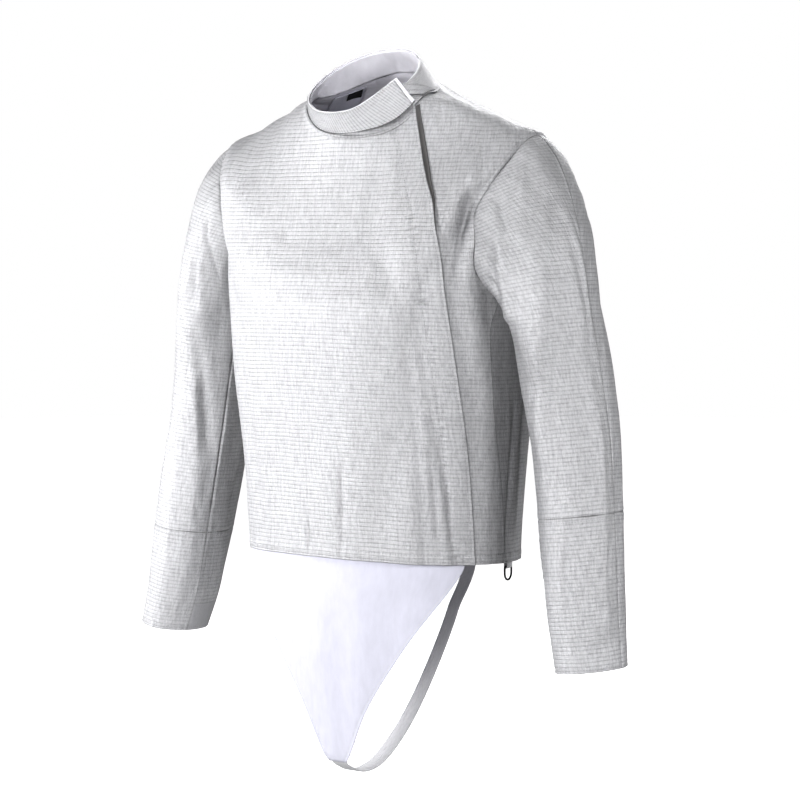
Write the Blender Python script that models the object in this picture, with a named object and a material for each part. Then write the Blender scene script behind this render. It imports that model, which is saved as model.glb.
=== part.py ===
"""Fencing lame for sabre: a worn, hollow jacket of conductive cloth with a crotch panel.

Metres, +Z up. The wearer faces -Y and the wearer's left is +X. The origin lies in the neck opening,
level with the sides of the collar seam, where the wearer's neck and shoulders carry the jacket.

The body is one surface, torso(phi, v): phi turns round the wearer from the front centre (0) to the
wearer's left (90 degrees) and the back (180), and v runs from the collar seam (0) over the shoulders
to the hem (1). Each arm is a second surface, sleeve(side, theta, s), that starts on the armhole of the
first. Every cloth piece is a grid on one of them, between its own seams, with a solid wall.
"""
import math
from collections import namedtuple

import bmesh
import bpy
from mathutils import Matrix, Vector

# Cloth and seams
CLOTH = 0.0015
SEAM_GAP = 0.0003
FACET_ROOM = 0.0006
LAYER = CLOTH + SEAM_GAP
NECK_START = 0.002
RIGHT, LEFT = -1, 1
BODY_STEP, SLEEVE_STEP, COLLAR_STEP = (0.5, 0.002), (0.5, 0.003), (0.5, -0.01)

# Body: one row for each ring round the wearer, from the collar seam down to the hem.
Ring = namedtuple("Ring", "v half_width front back y_mid z_side z_front z_back square")
RINGS = (
    Ring(0.00, 0.0750, 0.0680, 0.0680, -0.0080, 0.000, -0.045, 0.030, 2.00),
    Ring(0.08, 0.1050, 0.0800, 0.0850, 0.0030, -0.009, -0.072, 0.010, 2.00),
    Ring(0.17, 0.1400, 0.0960, 0.1000, 0.0140, -0.022, -0.105, -0.017, 2.00),
    Ring(0.27, 0.1780, 0.1090, 0.1140, 0.0190, -0.037, -0.140, -0.053, 2.05),
    Ring(0.34, 0.2050, 0.1150, 0.1220, 0.0190, -0.049, -0.165, -0.085, 2.10),
    Ring(0.45, 0.2020, 0.1170, 0.1300, 0.0140, -0.092, -0.185, -0.128, 2.15),
    Ring(0.55, 0.1980, 0.1220, 0.1310, 0.0120, -0.145, -0.210, -0.172, 2.20),
    Ring(0.66, 0.1930, 0.1250, 0.1290, 0.0120, -0.215, -0.245, -0.232, 2.20),
    Ring(0.76, 0.1870, 0.1220, 0.1240, 0.0130, -0.302, -0.310, -0.308, 2.20),
    Ring(0.88, 0.1780, 0.1150, 0.1170, 0.0135, -0.410, -0.410, -0.412, 2.15),
    Ring(1.00, 0.1710, 0.1100, 0.1110, 0.0136, -0.522, -0.517, -0.524, 2.10),
)

# The lapping edge of the front, which crosses from the left of the neck to the left of the hem
Lap = namedtuple("Lap", "v angle")
LAP_EDGE = (
    Lap(0.00, 71.0), Lap(0.08, 55.5), Lap(0.17, 46.0), Lap(0.27, 40.5), Lap(0.34, 38.5),
    Lap(0.45, 41.0), Lap(0.55, 44.5), Lap(0.66, 48.0), Lap(0.76, 53.0), Lap(0.88, 60.5),
    Lap(1.00, 66.0),
)
UNDERLAP = 0.030
LAP_LIFT = 0.0040
LAP_FADE = 0.050
TAPE_WALL = 0.0008
TAPE_TOP, TAPE_BOTTOM = 0.045, 0.450
TAPE_SHOWN, TAPE_HIDDEN = 0.0060, 0.0090
BODY_COLUMNS = {"front_right": 18, "front_left": 7, "back": 20}
YOKE_ROWS, SKIRT_ROWS = 5, 6

# Armholes, in the body's own angle and v
ARM_TOP, ARM_BOTTOM = 0.34, 0.66
ARM_TOP_ANGLE = 90.0
ARM_BOTTOM_ANGLE = {LEFT: 73.0, RIGHT: 88.0}
ARM_FRONT_REACH, ARM_BACK_REACH = 27.0, 38.0
ARM_ROUND = 0.85
SIDE_SEAM_HEM_ANGLE = 86.0

# Sleeves: one row for each ring down the arm. x is measured outwards.
Arm = namedtuple("Arm", "z x y_left y_right half_x half_y")
ARMS = (
    Arm(-0.250, 0.2410, 0.0030, 0.0250, 0.0450, 0.0650),
    Arm(-0.320, 0.2510, 0.0100, 0.0210, 0.0440, 0.0610),
    Arm(-0.390, 0.2600, 0.0150, 0.0160, 0.0430, 0.0570),
    Arm(-0.500, 0.2730, 0.0070, 0.0050, 0.0420, 0.0530),
    Arm(-0.576, 0.2820, 0.0010, -0.0040, 0.0400, 0.0480),
    Arm(-0.627, 0.2930, -0.0060, -0.0110, 0.0375, 0.0430),
)
CAP_SHARE = 0.34
CAP_LEAVE, CAP_FULLNESS, CAP_ARRIVE = 0.75, 0.20, 0.85
CAP_OUT, CAP_OUT_TOP = 0.72, 0.22
CAP_DOWN, CAP_DOWN_TOP = 0.60, 0.20
CAP_BACK, CAP_BACK_TOP, CAP_SHIFT = 0.32, 0.22, 0.80
RING_TILT = 0.12
INNER_SEAM = 205.0
CROSS_SEAM_Z = {LEFT: -0.462, RIGHT: -0.508}
GUSSET_ANGLE, GUSSET_HEIGHT = 144.0, 0.032
SLEEVE_FRONT_COLUMNS, SLEEVE_ROWS = 9, 10
FORE_ROWS = (0.0, 0.2, 0.4, 0.6)
SLEEVE_START, SLEEVE_MITRE = 0.0006, 0.0020

# Collar: a band that leans forward from the collar seam to a smaller, steeper rim
COLLAR_WALL = 0.0018
RIM_HALF_WIDTH, RIM_DEPTH = 0.0655, 0.0600
RIM_Y, RIM_Z, RIM_RISE = -0.0225, 0.0160, 0.0386
COLLAR_FREE_END, COLLAR_UNDER_END = 72.0, 48.0
COLLAR_LIFT = 0.0052
FREE_END_RISE, FREE_END_LIFT, FREE_END_SLANT = 0.012, 0.0022, 5.0
TAB_START, TAB_END, TAB_WALL = 67.0, 101.0, 0.0012
TAB_TOP, TAB_BOTTOM = 0.93, 0.10
COLLAR_COLUMNS, LINING_INSET = 40, 3
LINING_LOW, LINING_HIGH = 0.02, 0.97
LABEL_WALL = 0.0010
Label = namedtuple("Label", "angle width top bottom columns rows")
CARE_LABEL = Label(234.0, 0.040, 0.012, 0.150, 4, 5)
SIZE_LABEL = Label(229.0, 0.018, 0.014, 0.050, 2, 2)

# Crotch panel: one row for each level. Its top rows hang inside the front hem.
Crotch = namedtuple("Crotch", "z half_width y_middle y_edge")
CROTCH = (
    Crotch(-0.505, 0.150, -0.0930, -0.0350),
    Crotch(-0.530, 0.147, -0.0930, -0.0360),
    Crotch(-0.579, 0.118, -0.0920, -0.0640),
    Crotch(-0.629, 0.083, -0.0900, -0.0760),
    Crotch(-0.686, 0.0460, -0.0850, -0.0800),
    Crotch(-0.742, 0.0190, -0.0775, -0.0775),
    Crotch(-0.752, 0.0120, -0.0745, -0.0745),
)
CROTCH_WALL = 0.0012
CROTCH_COLUMNS, CROTCH_ROWS = 12, 12
CROTCH_FREE_TOP, CROTCH_FREE_BOTTOM = -0.525, -0.600

# Strap: points of its middle line, from the tip of the crotch panel to the inside of the back hem
Way = namedtuple("Way", "x y z")
STRAP_ROUTE = (
    Way(0.000, -0.0730, -0.7330), Way(0.000, -0.0690, -0.7520), Way(0.003, -0.0460, -0.7660),
    Way(0.007, -0.0180, -0.7640), Way(0.012, 0.0070, -0.7480), Way(0.019, 0.0340, -0.7180),
    Way(0.028, 0.0620, -0.6720), Way(0.040, 0.0900, -0.6080), Way(0.050, 0.1120, -0.5380),
    Way(0.052, 0.1165, -0.5080),
)
STRAP_WIDTH, STRAP_WALL, STRAP_STATIONS = 0.020, 0.0014, 22
STRAP_TURN = 20.0
STRAP_SEAT_ANGLE = 162.4
STRAP_FRONT_SEAT, STRAP_BACK_SEAT = (0.09, 0.17), (0.80, 0.90)

# Webbing loop and D-ring at the left of the hem
LOOP_ANGLE = 95.0
LOOP_WIDTH, LOOP_WALL = 0.0115, 0.0010
LOOP_TOP, LOOP_DROP = 0.020, 0.0078
LOOP_BENDS, BOW_STEPS, CORNER_STEPS = 8, 14, 3
WIRE = 0.0022
RING_WIDTH, RING_HEIGHT = 0.0185, 0.0175
RING_CORNER = 0.0015
RING_CLEARANCE = 0.0004

# Largest folds. Each is a soft ridge (height over 0) or trough, as an ellipse on its surface.
Fold = namedtuple("Fold", "at along reach length lean height")
FOLD_SHARE = {LEFT: 1.0, RIGHT: 0.6}
BODY_FOLDS = (
    Fold(52.0, 0.500, 5.0, 0.110, -10.0, -0.0050),
    Fold(47.0, 0.420, 5.0, 0.120, -8.0, 0.0030),
    Fold(-58.0, 0.600, 7.0, 0.110, 20.0, -0.0040),
    Fold(150.0, 0.520, 8.0, 0.140, 20.0, -0.0040),
    Fold(-150.0, 0.520, 8.0, 0.140, -20.0, -0.0040),
    Fold(-20.0, 0.900, 7.0, 0.100, 0.0, -0.0020),
    Fold(28.0, 0.880, 7.0, 0.120, -6.0, -0.0030),
    Fold(180.0, 0.800, 12.0, 0.150, 0.0, -0.0030),
)
SLEEVE_FOLDS = (
    Fold(258.0, 0.240, 20.0, 0.110, 25.0, -0.0030),
    Fold(290.0, 0.330, 18.0, 0.150, -20.0, 0.0035),
    Fold(250.0, 0.430, 24.0, 0.110, 30.0, -0.0030),
    Fold(265.0, 0.560, 24.0, 0.110, 30.0, 0.0030),
    Fold(320.0, 0.520, 16.0, 0.140, 0.0, -0.0030),
    Fold(100.0, 0.440, 32.0, 0.110, 25.0, -0.0035),
    Fold(60.0, 0.250, 20.0, 0.100, -20.0, -0.0035),
    Fold(280.0, 0.800, 18.0, 0.120, 0.0, -0.0025),
)

LAME_GREY = (0.62, 0.62, 0.64)
PALE_LINING = (0.74, 0.73, 0.79)
WHITE_CLOTH = (0.86, 0.86, 0.90)
STRAP_GREY = (0.60, 0.60, 0.62)
TAG_DARK = (0.03, 0.03, 0.035)
RING_BLACK = (0.02, 0.02, 0.022)


def start_empty():
    for thing in list(bpy.data.objects):
        bpy.data.objects.remove(thing, do_unlink=True)


def smooth(value, low, high):
    """0 below low and 1 above high, with a soft step between."""
    share = min(max((value - low) / (high - low), 0.0), 1.0)
    return share * share * (3 - 2 * share)


def read(table, key, column):
    """A column of a table at any value of its first column, on a smooth curve through the rows."""
    keys = [row[0] for row in table]
    values = [getattr(row, column) for row in table]
    sign = 1 if keys[-1] > keys[0] else -1
    last = len(keys) - 2
    i = 0
    while i < last and sign * (key - keys[i + 1]) > 0:
        i += 1

    def slope(k):
        low, high = max(k - 1, 0), min(k + 1, len(keys) - 1)
        return (values[high] - values[low]) / (keys[high] - keys[low])

    step = keys[i + 1] - keys[i]
    t = (key - keys[i]) / step
    start, end = values[i], values[i + 1]
    rise_in, rise_out = slope(i) * step, slope(i + 1) * step
    return (start * (1 + 2 * t) * (1 - t) ** 2 + end * t * t * (3 - 2 * t)
            + rise_in * t * (1 - t) ** 2 + rise_out * t * t * (t - 1))


def fold_height(folds, angle, along):
    """The height of all the folds of a surface at one place, in metres."""
    height = 0.0
    for fold in folds:
        turn = (angle - fold.at + 180.0) % 360.0 - 180.0
        run = along - fold.along
        turn -= fold.lean * run / fold.length
        height += fold.height * math.exp(-(turn / fold.reach) ** 2 - (run / fold.length) ** 2)
    return height


def torso_base(angle, v):
    ring = {name: read(RINGS, v, name) for name in Ring._fields[1:]}
    sine, cosine = math.sin(math.radians(angle)), math.cos(math.radians(angle))
    power = ring["square"]
    radius = (abs(sine) ** power + abs(cosine) ** power) ** (-1 / power)
    depth, end = (ring["front"], ring["z_front"]) if cosine > 0 else (ring["back"], ring["z_back"])
    height = ring["z_side"] + (end - ring["z_side"]) * cosine * cosine
    return Vector((ring["half_width"] * radius * sine, ring["y_mid"] - depth * radius * cosine, height))


def moved_out(surface, a, b, steps, distance):
    """A point of a surface, moved out along the surface's normal."""
    point = surface(a, b)
    across = surface(a + steps[0], b) - surface(a - steps[0], b)
    down = surface(a, b + steps[1]) - surface(a, b - steps[1])
    return point + down.cross(across).normalized() * distance


def torso(angle, v, out=0.0):
    fade = smooth(v, 0.0, 0.06)
    lift = fold_height(BODY_FOLDS, angle, v) * fade + out
    return moved_out(torso_base, angle, v, BODY_STEP, lift)


def round_share(v):
    """How far an armhole reaches at this level, from 0 at its top and bottom to 1."""
    middle = (ARM_TOP + ARM_BOTTOM) / 2
    height = (v - middle) / (middle - ARM_TOP)
    return max(1.0 - height * height, 0.0) ** (ARM_ROUND / 2)


def side_line(side, v):
    """Angle of the shoulder seam, the line between the armhole's halves and the side seam."""
    bottom = ARM_BOTTOM_ANGLE[side]
    if v <= ARM_BOTTOM:
        return blend(ARM_TOP_ANGLE, bottom, smooth(v, ARM_TOP, ARM_BOTTOM))
    return blend(bottom, SIDE_SEAM_HEM_ANGLE, smooth(v, ARM_BOTTOM, 1.0))


def front_side(side, v):
    return side_line(side, v) - ARM_FRONT_REACH * round_share(v)


def back_side(side, v):
    return side_line(side, v) + ARM_BACK_REACH * round_share(v)


def armhole_v(theta):
    middle = (ARM_TOP + ARM_BOTTOM) / 2
    return middle - (middle - ARM_TOP) * math.cos(math.radians(theta))


def armhole(side, theta):
    """A point of the armhole: theta 0 at the shoulder, 90 at the back, 180 under the arm."""
    turn = theta % 360.0
    v = armhole_v(turn)
    angle = back_side(side, v) if turn < 180.0 else front_side(side, v)
    return torso(side * angle, v)


def arm_ring(side, theta, z):
    arm = {name: read(ARMS, z, name) for name in Arm._fields[1:]}
    sine, cosine = math.sin(math.radians(theta)), math.cos(math.radians(theta))
    y_mid = arm["y_left"] if side == LEFT else arm["y_right"]
    x = arm["x"] + arm["half_x"] * cosine
    return Vector((side * x, y_mid + arm["half_y"] * sine, z + RING_TILT * arm["half_x"] * cosine))


def arm_z(s):
    """Height of the arm ring at share s of the sleeve's length, below the cap."""
    top, bottom = ARMS[0].z, ARMS[-1].z
    return top + (bottom - top) * (s - CAP_SHARE) / (1.0 - CAP_SHARE)


def arm_share(z):
    top, bottom = ARMS[0].z, ARMS[-1].z
    return CAP_SHARE + (1.0 - CAP_SHARE) * (z - top) / (bottom - top)


def cap_leaving(side, theta, shift):
    """The direction in which a sleeve leaves its armhole. shift turns it to the back."""
    sine, cosine = math.sin(math.radians(theta)), math.cos(math.radians(theta))
    out = CAP_OUT + CAP_OUT_TOP * cosine
    back = CAP_BACK * sine - CAP_BACK_TOP * max(cosine, 0.0) + shift
    down = CAP_DOWN - CAP_DOWN_TOP * cosine
    return Vector((side * out, back, -down)).normalized()


def sleeve_base(side, theta, s):
    if s >= CAP_SHARE:
        return arm_ring(side, theta, arm_z(s))
    t = s / CAP_SHARE
    start, end = armhole(side, theta), arm_ring(side, theta, ARMS[0].z)
    arriving = arm_ring(side, theta, ARMS[0].z - 0.01) - end
    reach = (end - start).length
    fullness = CAP_LEAVE + CAP_FULLNESS * max(math.cos(math.radians(theta)), 0.0) ** 2
    leave = cap_leaving(side, theta, CAP_SHIFT * (end - start).y / reach) * reach * fullness
    arrive = arriving.normalized() * reach * CAP_ARRIVE
    return (start * ((1 + 2 * t) * (1 - t) ** 2) + end * (t * t * (3 - 2 * t))
            + leave * (t * (1 - t) ** 2) + arrive * (t * t * (t - 1)))


def sleeve(side, theta, s, out=0.0):
    """A point of a sleeve: theta as on the armhole, s from the armhole (0) to the cuff (1)."""
    fade = smooth(s, 0.02, 0.20) * (1.0 - smooth(s, 0.92, 1.0)) * FOLD_SHARE[side]
    lift = fold_height(SLEEVE_FOLDS, theta, s) * fade + out

    def base(a, b):
        return sleeve_base(side, a, b)

    return moved_out(base, theta, s, SLEEVE_STEP, lift * side)


def sleeve_step(side, theta, s, distance):
    """The share of a sleeve's length that covers a distance along it."""
    step = 0.01
    return distance * step / (sleeve_base(side, theta, s + step) - sleeve_base(side, theta, s)).length


def material(name, colour, roughness, metallic=0.0):
    if name in bpy.data.materials:
        return bpy.data.materials[name]
    made = bpy.data.materials.new(name)
    made.use_nodes = True
    shader = made.node_tree.nodes["Principled BSDF"]
    shader.inputs["Base Color"].default_value = (*colour, 1.0)
    shader.inputs["Roughness"].default_value = roughness
    shader.inputs["Metallic"].default_value = metallic
    return made


def add_object(name, mesh, look):
    mesh.materials.append(look)
    thing = bpy.data.objects.new(name, mesh)
    bpy.context.scene.collection.objects.link(thing)
    return thing


def cloth(name, columns, rows, place, wall, look, skip=None):
    """A cloth piece: a grid on its surface, extruded to a wall behind it.

    place(i, j, out) gives the grid's points. i counts columns and j counts rows downwards.
    skip(i, j) names grid cells that are cut away.
    """
    mesh = bpy.data.meshes.new(name)
    grid = bmesh.new()
    bmesh.ops.create_grid(grid, x_segments=columns, y_segments=rows, size=1.0)
    cell = {vert: (round((vert.co.x + 1) / 2 * columns), round((1 - vert.co.y) / 2 * rows))
            for vert in grid.verts}
    if skip:
        corner = {face: [min(cell[vert][k] for vert in face.verts) for k in (0, 1)] for face in grid.faces}
        cut = [face for face in grid.faces if skip(*corner[face])]
        bmesh.ops.delete(grid, geom=cut, context="FACES")
    inside = list(grid.verts)
    flat = {vert: vert.co.copy() for vert in inside}
    pushed = bmesh.ops.extrude_face_region(grid, geom=grid.faces[:], use_keep_orig=True)
    by_spot = {(round(flat[vert].x, 5), round(flat[vert].y, 5)): cell[vert] for vert in inside}
    outside = [item for item in pushed["geom"] if isinstance(item, bmesh.types.BMVert)]
    outside_cells = [by_spot[(round(vert.co.x, 5), round(vert.co.y, 5))] for vert in outside]
    for vert, spot in zip(outside, outside_cells):
        vert.co = place(*spot, 0.0)
    for vert in inside:
        vert.co = place(*cell[vert], -wall)
    bmesh.ops.recalc_face_normals(grid, faces=grid.faces)
    if grid.calc_volume(signed=True) < 0:
        bmesh.ops.reverse_faces(grid, faces=grid.faces)
    bmesh.ops.triangulate(grid, faces=grid.faces, quad_method="SHORT_EDGE")
    grid.to_mesh(mesh)
    grid.free()
    thing = add_object(name, mesh, look)
    thing.data.shade_smooth()
    thing.data.set_sharp_from_angle(angle=math.radians(40.0))
    return thing


def blend(low, high, share):
    return low + (high - low) * share


def arm_columns(front):
    """Values of theta for the columns of a sleeve half, which the rows beside its armhole share."""
    if front:
        last = SLEEVE_FRONT_COLUMNS
        return [blend(INNER_SEAM, 360.0, i / last) for i in range(last + 1)]
    return [18.0 * i for i in range(11)] + [(180.0 + INNER_SEAM) / 2, INNER_SEAM]


def body_rows(front):
    """Values of v for the rows of a body panel's grid."""
    yoke = [ARM_TOP * (i / YOKE_ROWS) ** 1.25 for i in range(YOKE_ROWS)]
    skirt = [blend(ARM_BOTTOM, 1.0, i / SKIRT_ROWS) for i in range(1, SKIRT_ROWS + 1)]
    beside = arm_columns(True) + arm_columns(False)
    turns = {round(theta, 6) for theta in beside if (theta > 180.0) == front or theta == 180.0}
    return yoke + sorted(armhole_v(theta) for theta in turns | {0.0 if not front else 360.0}) + skirt


def inset_angle(angle, v, distance):
    """The angle that covers a distance round the body at one place."""
    return distance / (torso_base(angle + 0.5, v) - torso_base(angle - 0.5, v)).length


def body_panel(name, low, high, lift, look):
    """A panel of the body between two seam lines, low(v) and high(v), in degrees."""
    rows = body_rows(front=name != "back")
    columns = BODY_COLUMNS[name]

    def place(i, j, out):
        v = max(rows[j], NECK_START)
        first = low(v) + inset_angle(low(v), v, SEAM_GAP / 2)
        last = high(v) - inset_angle(high(v), v, SEAM_GAP / 2)
        angle = blend(first, last, i / columns)
        return torso(angle, v, lift(angle, v) + out)

    return cloth(name, columns, len(rows) - 1, place, CLOTH, look)


def lap_edge(v):
    return read(LAP_EDGE, v, "angle")


def underlap(v):
    """Angle covered by the part of the left front that lies under the right one."""
    return inset_angle(lap_edge(v), v, UNDERLAP * smooth(v, 0.02, 0.12))


def lap_lift(angle, v):
    """How far the lapping front stands off the body surface, near its edge."""
    inside = (lap_edge(v) - angle) / inset_angle(angle, v, 1.0)
    below_collar = blend(0.55, 1.0, smooth(v, 0.0, 0.04))
    return LAP_LIFT * below_collar * (1.0 - smooth(inside, UNDERLAP, UNDERLAP + LAP_FADE))


def flat_lift(angle, v):
    return 0.0


def make_body(lame):
    def right_seam(v):
        return -front_side(RIGHT, v)

    def left_seam(v):
        return front_side(LEFT, v)

    def hidden_edge(v):
        return lap_edge(v) - underlap(v)

    def back_left_seam(v):
        return back_side(LEFT, v)

    def back_right_seam(v):
        return 360.0 - back_side(RIGHT, v)

    body_panel("front_right", right_seam, lap_edge, lap_lift, lame)
    body_panel("front_left", hidden_edge, left_seam, flat_lift, lame)
    body_panel("back", back_left_seam, back_right_seam, flat_lift, lame)


def make_placket_tape(lame):
    """Narrow tape on the left front, beside the top of the lapping edge."""
    rows = 9

    def place(i, j, out):
        v = blend(TAPE_TOP, TAPE_BOTTOM, j / rows)
        edge = lap_edge(v)
        shown = TAPE_SHOWN * (1.0 - smooth(j / rows, 0.35, 1.0))
        across = blend(-TAPE_HIDDEN, shown, i / 2)
        return torso(edge + inset_angle(edge, v, across), v, SEAM_GAP + FACET_ROOM + TAPE_WALL + out)

    cloth("placket_tape", 2, rows, place, TAPE_WALL, lame)


def sleeve_piece(name, side, turns, top, bottom, rows, look, skip=None):
    """A piece of a sleeve between two lengthwise seams and two shares of its length."""
    inset = math.degrees(SEAM_GAP / 2 / ARMS[-1].half_x)

    def place(i, j, out):
        theta = min(max(turns[i], turns[0] + inset), turns[-1] - inset)
        share = blend(top(theta, out), bottom, rows[j])
        return sleeve(side, theta, share, out)

    return cloth(name, len(turns) - 1, len(rows) - 1, place, CLOTH, look, skip)


def make_sleeve(side, lame, knit):
    word = "left" if side == LEFT else "right"
    cross = arm_share(CROSS_SEAM_Z[side])
    gap = SEAM_GAP / 2 / ((ARMS[0].z - ARMS[-1].z) / (1.0 - CAP_SHARE))
    gusset_top = arm_share(ARMS[-1].z + GUSSET_HEIGHT)
    upper_rows = [i / SLEEVE_ROWS for i in range(SLEEVE_ROWS + 1)]
    fore_rows = [*FORE_ROWS, (gusset_top - gap - cross) / (1.0 - cross), 1.0]

    def armhole_start(theta, out):
        return sleeve_step(side, theta, 0.0, SLEEVE_START + (SLEEVE_MITRE if out < 0 else 0.0))

    def below_cross(theta, out):
        return cross + gap

    front, rear = arm_columns(True), arm_columns(False)
    name = f"sleeve_{word}"
    sleeve_piece(f"{name}_front_upper", side, front, armhole_start, cross - gap, upper_rows, lame)
    sleeve_piece(f"{name}_back_upper", side, rear, armhole_start, cross - gap, upper_rows, lame)
    sleeve_piece(f"{name}_front_fore", side, front, below_cross, 1.0, fore_rows, lame)

    notch = rear.index(GUSSET_ANGLE)

    def in_notch(i, j):
        return i >= notch and j >= len(fore_rows) - 2

    sleeve_piece(f"{name}_back_fore", side, rear, below_cross, 1.0, fore_rows, lame, in_notch)

    def below_notch(theta, out):
        return gusset_top + gap

    sleeve_piece(f"cuff_gusset_{word}", side, rear[notch:], below_notch, 1.0, [0.0, 1.0], knit)


def collar_point(angle, height, out, top_layer):
    """A point of the collar band: height 0 at the seam and 1 at the rim, out along its normal."""
    def band(turn, share):
        sine, cosine = math.sin(math.radians(turn)), math.cos(math.radians(turn))
        free = smooth(turn, 15.0, COLLAR_FREE_END) * top_layer
        over_lap = smooth(turn, -10.0, 40.0) * top_layer
        base = torso_base(turn, 0.0) + Vector((0.0, 0.0, SEAM_GAP + FREE_END_LIFT * over_lap))
        rim = Vector((RIM_HALF_WIDTH * sine, RIM_Y - RIM_DEPTH * cosine,
                      RIM_Z - RIM_RISE * cosine + FREE_END_RISE * free))
        return base.lerp(rim, share)

    return moved_out(band, angle, height, COLLAR_STEP, out)


def make_collar(lame, lining):
    """The band runs from its free end round the front, the right side and the back, and under itself."""
    turn = COLLAR_FREE_END - COLLAR_UNDER_END + 360.0
    under_end = COLLAR_FREE_END - turn

    def band(columns, rows, start, out, low=0.0, high=1.0):
        def place(i, j, depth):
            angle = blend(under_end, start, i / columns)
            layer = smooth(angle, -40.0, 40.0)
            height = blend(high, low, j / rows)
            slant = FREE_END_SLANT * height * smooth(angle, 20.0, COLLAR_FREE_END)
            return collar_point(angle - slant, height, out(angle) + depth, layer)
        return place

    def lifted(angle):
        return COLLAR_LIFT * smooth(angle, -10.0, COLLAR_UNDER_END - 4.0)

    def inner(angle):
        return lifted(angle) - COLLAR_WALL - SEAM_GAP

    rows = 2
    stand = band(COLLAR_COLUMNS, rows, COLLAR_FREE_END, lifted)
    cloth("collar_stand", COLLAR_COLUMNS, rows, stand, COLLAR_WALL, lame)

    lined = COLLAR_COLUMNS - LINING_INSET
    first = COLLAR_FREE_END - LINING_INSET * turn / COLLAR_COLUMNS
    inside = band(lined, rows, first, inner, LINING_LOW, LINING_HIGH)
    cloth("collar_lining", lined, rows, inside, LABEL_WALL, lining)

    columns = 4

    def tab_place(i, j, depth):
        angle = blend(TAB_START, TAB_END, i / columns) - 360.0
        return collar_point(angle, blend(TAB_TOP, TAB_BOTTOM, j / rows), TAB_WALL + FACET_ROOM + depth, 0.0)

    cloth("collar_tab", columns, rows, tab_place, TAB_WALL, lame)


def make_labels(white, dark):
    """Plain labels inside the back of the neck, one on the other."""
    def label(name, sizes, depth, look):
        def place(i, j, out):
            v = blend(sizes.top, sizes.bottom, j / sizes.rows)
            across = sizes.width * (i / sizes.columns - 0.5)
            return torso(sizes.angle + inset_angle(sizes.angle, v, across), v, out - depth)
        return cloth(name, sizes.columns, sizes.rows, place, LABEL_WALL, look)

    first = LAYER + 2 * FACET_ROOM
    label("care_label", CARE_LABEL, first, white)
    label("size_label", SIZE_LABEL, first + LABEL_WALL + SEAM_GAP, dark)


def near_hem(z):
    """The value of v at a height close to the hem."""
    above, last = RINGS[-2:]
    return min(last.v + (z - last.z_side) * (last.v - above.v) / (last.z_side - above.z_side), 1.0)


def crotch_point(share, z, out):
    """A point of the crotch panel: share -1 to 1 across it, at a height."""
    half = read(CROTCH, z, "half_width")
    middle, edge = read(CROTCH, z, "y_middle"), read(CROTCH, z, "y_edge")
    free = Vector((half * share, middle + (edge - middle) * share * share - out, z))
    angle = math.degrees(math.asin(min(half / RINGS[-1].half_width, 0.9))) * share
    hung = torso(angle, near_hem(z), out - LAYER - FACET_ROOM)
    hung.z = z
    return hung.lerp(free, smooth(-z, -CROTCH_FREE_TOP, -CROTCH_FREE_BOTTOM))


def make_crotch(white):
    """The panel hangs inside the front hem and narrows to its tip."""
    hem, below, tip = RINGS[-1].z_side, -0.540, CROTCH[-1].z
    rows = CROTCH_ROWS - 1
    levels = [CROTCH[0].z, hem] + [blend(below, tip, i / rows) for i in range(CROTCH_ROWS)]

    def place(i, j, out):
        return crotch_point(2 * i / CROTCH_COLUMNS - 1, levels[j], out)

    cloth("crotch_panel", CROTCH_COLUMNS, len(levels) - 1, place, CROTCH_WALL, white)


def strap_middle(share):
    """A point of the strap's middle line, on a smooth curve through its route."""
    route = [Vector(point) for point in STRAP_ROUTE]
    place = share * (len(route) - 1)
    k = min(int(place), len(route) - 2)
    t = place - k
    before, after = route[max(k - 1, 0)], route[min(k + 2, len(route) - 1)]
    slope_in, slope_out = (route[k + 1] - before) / 2, (after - route[k]) / 2
    return (route[k] * ((1 + 2 * t) * (1 - t) ** 2) + route[k + 1] * (t * t * (3 - 2 * t))
            + slope_in * (t * (1 - t) ** 2) + slope_out * (t * t * (t - 1)))


def strap_point(side, share, out):
    """A point of the strap: side -1 to 1 across it. Its ends lie on the panel's tip and the back hem."""
    turn = math.radians(STRAP_TURN) * smooth(share, 0.2, 0.9)
    across = Vector((math.cos(turn), -math.sin(turn), 0.0))
    run = strap_middle(min(share + 0.01, 1.0)) - strap_middle(max(share - 0.01, 0.0))
    inward = across.cross(run).normalized()
    middle = strap_middle(share)
    half = STRAP_WIDTH / 2
    free = middle + across * half * side + inward * out

    beside = SEAM_GAP + FACET_ROOM + STRAP_WALL + out
    panel = crotch_point(0.0, max(middle.z, CROTCH[-1].z), -CROTCH_WALL - beside)
    on_panel = Vector((half * side, panel.y, middle.z))
    angle = STRAP_SEAT_ANGLE - inset_angle(STRAP_SEAT_ANGLE, 1.0, half * side)
    on_hem = torso(angle, near_hem(middle.z), -CLOTH - beside)
    on_hem.z = middle.z
    free = on_panel.lerp(free, smooth(share, *STRAP_FRONT_SEAT))
    return free.lerp(on_hem, smooth(share, *STRAP_BACK_SEAT))


def make_strap(elastic):
    def place(i, j, out):
        return strap_point(i - 1, j / STRAP_STATIONS, out)

    cloth("crotch_strap", 2, STRAP_STATIONS, place, STRAP_WALL, elastic)


def hem_frame(angle):
    """Axes at the hem: along it, outwards and up, with a point on the cloth's inner face."""
    along = (torso_base(angle + 0.5, 1.0) - torso_base(angle - 0.5, 1.0)).normalized()
    up = Vector((0.0, 0.0, 1.0))
    out = along.cross(up).normalized()
    along = up.cross(out)
    point = torso(angle, 1.0) - out * (LAYER + FACET_ROOM)
    return along, out, up, point


def ring_axis():
    """Middle of the D-ring's straight bar."""
    along, out, up, point = hem_frame(LOOP_ANGLE)
    bar = WIRE / 2 + RING_CLEARANCE + LOOP_WALL
    return along, out, up, point - out * bar - up * (LOOP_DROP - bar)


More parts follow.
